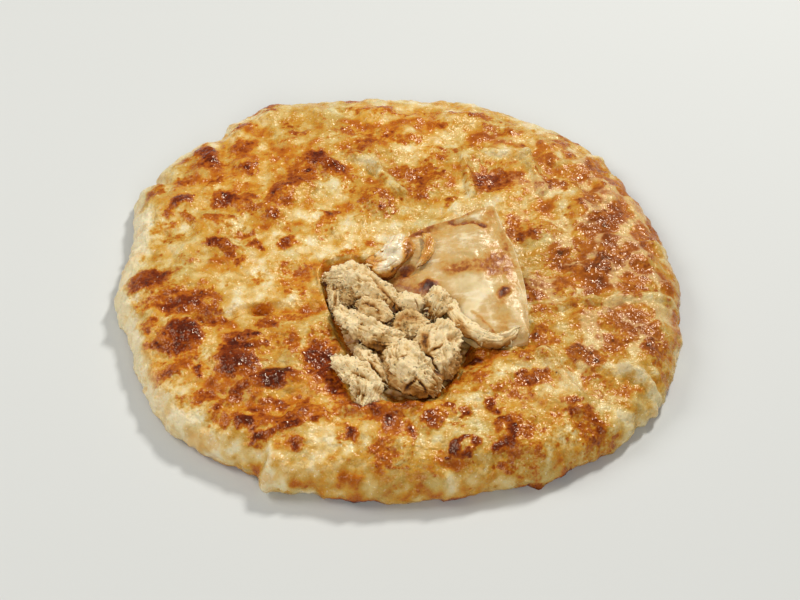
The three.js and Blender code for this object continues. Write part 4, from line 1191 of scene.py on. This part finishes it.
def make_stage(context):
    """A plain pale floor, a soft light over the far right, fills, and the camera, which looks down
    by 45 degrees."""
    colours = context.scene.pie_colours
    half = FLOOR_HALF
    mesh = bpy.data.meshes.new("floor")
    corners = [(-half, -half, 0), (half, -half, 0), (half, half, 0), (-half, half, 0)]
    mesh.from_pydata(corners, [], [(0, 1, 2, 3)])
    floor = bpy.data.objects.new("floor", mesh)
    context.scene.collection.objects.link(floor)
    f = Finish("floor_paint")
    mesh.materials.append(f.end(
        Base_Color=f.blend(f.noise(60.0, 2.0) * 0.08, colours.floor, FLOOR_CLOUD), Roughness=0.75))

    for name, (place, size, power) in LIGHTS.items():
        lamp = bpy.data.lights.new(name, "AREA")
        lamp.shape = "DISK"
        lamp.size, lamp.energy, lamp.color = size, power, LIGHT_COLOUR
        holder = bpy.data.objects.new(name, lamp)
        holder.location = place
        aim(holder, (0, 0, 0))
        context.scene.collection.objects.link(holder)

    world = bpy.data.worlds.new("studio")
    world.use_nodes = True
    sky = world.node_tree.nodes["Background"]
    sky.inputs["Color"].default_value = SKY_COLOUR
    sky.inputs["Strength"].default_value = SKY_STRENGTH
    context.scene.world = world

    lens = bpy.data.cameras.new("camera")
    lens.lens, lens.sensor_width = LENS, SENSOR
    lens.clip_start, lens.clip_end = CLIP_START, CLIP_END
    camera = bpy.data.objects.new("camera", lens)
    away = CAMERA_DISTANCE * math.sqrt(0.5)
    camera.location = CAMERA_AIM + (0, -away, away)
    aim(camera, CAMERA_AIM)
    context.scene.collection.objects.link(camera)
    context.scene.camera = camera
    context.scene.view_settings.view_transform = "Standard"


def aim(thing, target):
    """Turns a camera or light, which look along their own -Z, towards a place."""
    way = Vector(target) - thing.location
    thing.rotation_euler = way.to_track_quat("-Z", "Y").to_euler()


# ---------------------------------------------------------------- settings


def colour_property(name, description, default):
    return FloatVectorProperty(name=name, description=description, default=default, size=3,
                               subtype="COLOR", min=0.0, max=1.0)


def length_property(name, description, millimetres):
    return FloatProperty(name=name, description=description, default=millimetres * MM, min=0.0,
                         subtype="DISTANCE", unit="LENGTH", precision=4)


class PieSizes(bpy.types.PropertyGroup):
    """Sizes of the dough's and the meat's unevenness."""

    lump_depth: length_property("Lump depth", "Height of the dough's small lumps and creases", 0.8)
    lip_sink: length_property("Lip sink", "How far the crust sinks towards the cut", 2.4)
    fibre_depth: length_property("Fibre depth", "Depth of the strands of the torn chicken", 0.13)
    shred_length: length_property("Shred length", "Length of the loose shreds", 3.2)


class PieColours(bpy.types.PropertyGroup):
    """Colours of the dough, the meat and the floor."""

    cream: colour_property("Cream", "Dough that is hardly baked", tint(226, 196, 132))
    butter: colour_property("Butter", "Buttery, pale golden dough", tint(204, 156, 70))
    golden: colour_property("Golden", "Golden dough", tint(200, 134, 42))
    orange: colour_property("Orange", "Dough at the border of a browned patch", tint(184, 102, 24))
    brown: colour_property("Brown", "Browned dough", tint(160, 80, 22))
    russet: colour_property("Russet", "Well browned dough", tint(124, 50, 12))
    dark: colour_property("Dark", "Dark browned dough", tint(84, 32, 14))
    char: colour_property("Char", "The darkest spots", tint(44, 20, 16))
    flour: colour_property("Flour", "Pale, floury dough at the rim", tint(236, 220, 180))
    dough: colour_property("Thin dough", "The folded flap", tint(204, 171, 116))
    chicken: colour_property("Chicken", "Pale meat", tint(238, 214, 164))
    chicken_warm: colour_property("Warm chicken", "Meat in half shade", tint(208, 172, 112))
    ochre: colour_property("Ochre", "Stained meat", tint(166, 110, 40))
    gravy: colour_property("Gravy", "Gravy and dark hollows", tint(76, 40, 8))
    herb: colour_property("Herbs", "Fine dark flecks", tint(84, 70, 40))
    skin: colour_property("Skin", "Soft chicken skin", tint(236, 220, 184))
    floor: colour_property("Floor", "The floor under the pie", tint(205, 207, 204))


# ---------------------------------------------------------------- operators


class PIE_OT_crust(bpy.types.Operator):
    """Builds the crust"""

    bl_idname = "pie.crust"
    bl_label = "Crust"

    def execute(self, context):
        make_crust(context)
        return {"FINISHED"}


class PIE_OT_flap(bpy.types.Operator):
    """Builds the folded-back flap"""

    bl_idname = "pie.flap"
    bl_label = "Flap"

    def execute(self, context):
        make_flap(context)
        return {"FINISHED"}


class PIE_OT_filling(bpy.types.Operator):
    """Builds the filling"""

    bl_idname = "pie.filling"
    bl_label = "Filling"

    def execute(self, context):
        make_filling(context)
        return {"FINISHED"}


class PIE_OT_chicken(bpy.types.Operator):
    """Builds the torn pieces of chicken, the skin and the curl of dough"""

    bl_idname = "pie.chicken"
    bl_label = "Chicken"

    def execute(self, context):
        meat = chicken_finish(context.scene.pie_colours)
        skin = skin_finish(context.scene.pie_colours)
        for seed, name in enumerate(CHICKEN, 1):
            make_chicken(context, name, seed, skin if name in SKINS else meat)
        return {"FINISHED"}


class PIE_OT_stage(bpy.types.Operator):
    """Builds the floor, the lights and the camera"""

    bl_idname = "pie.stage"
    bl_label = "Stage"

    def execute(self, context):
        make_stage(context)
        return {"FINISHED"}


class PIE_PT_panel(bpy.types.Panel):
    """The pie's pieces and settings"""

    bl_idname = "PIE_PT_panel"
    bl_label = "Chicken Pie"
    bl_space_type = "VIEW_3D"
    bl_region_type = "UI"
    bl_category = "Pie"

    def draw(self, context):
        for operator in OPERATORS:
            self.layout.operator(operator.bl_idname)
        for group in (context.scene.pie_sizes, context.scene.pie_colours):
            for key in group.__annotations__:
                self.layout.prop(group, key)


OPERATORS = (PIE_OT_stage, PIE_OT_crust, PIE_OT_flap, PIE_OT_filling, PIE_OT_chicken)
CLASSES = (PieSizes, PieColours, *OPERATORS, PIE_PT_panel)


def register():
    for cls in CLASSES:
        bpy.utils.register_class(cls)
    bpy.types.Scene.pie_sizes = PointerProperty(type=PieSizes)
    bpy.types.Scene.pie_colours = PointerProperty(type=PieColours)


def unregister():
    del bpy.types.Scene.pie_colours
    del bpy.types.Scene.pie_sizes
    for cls in reversed(CLASSES):
        bpy.utils.unregister_class(cls)


def main():
    register()
    bpy.ops.pie.stage()
    bpy.ops.pie.crust()
    bpy.ops.pie.flap()
    bpy.ops.pie.filling()
    bpy.ops.pie.chicken()


if __name__ == "__main__":
    main()
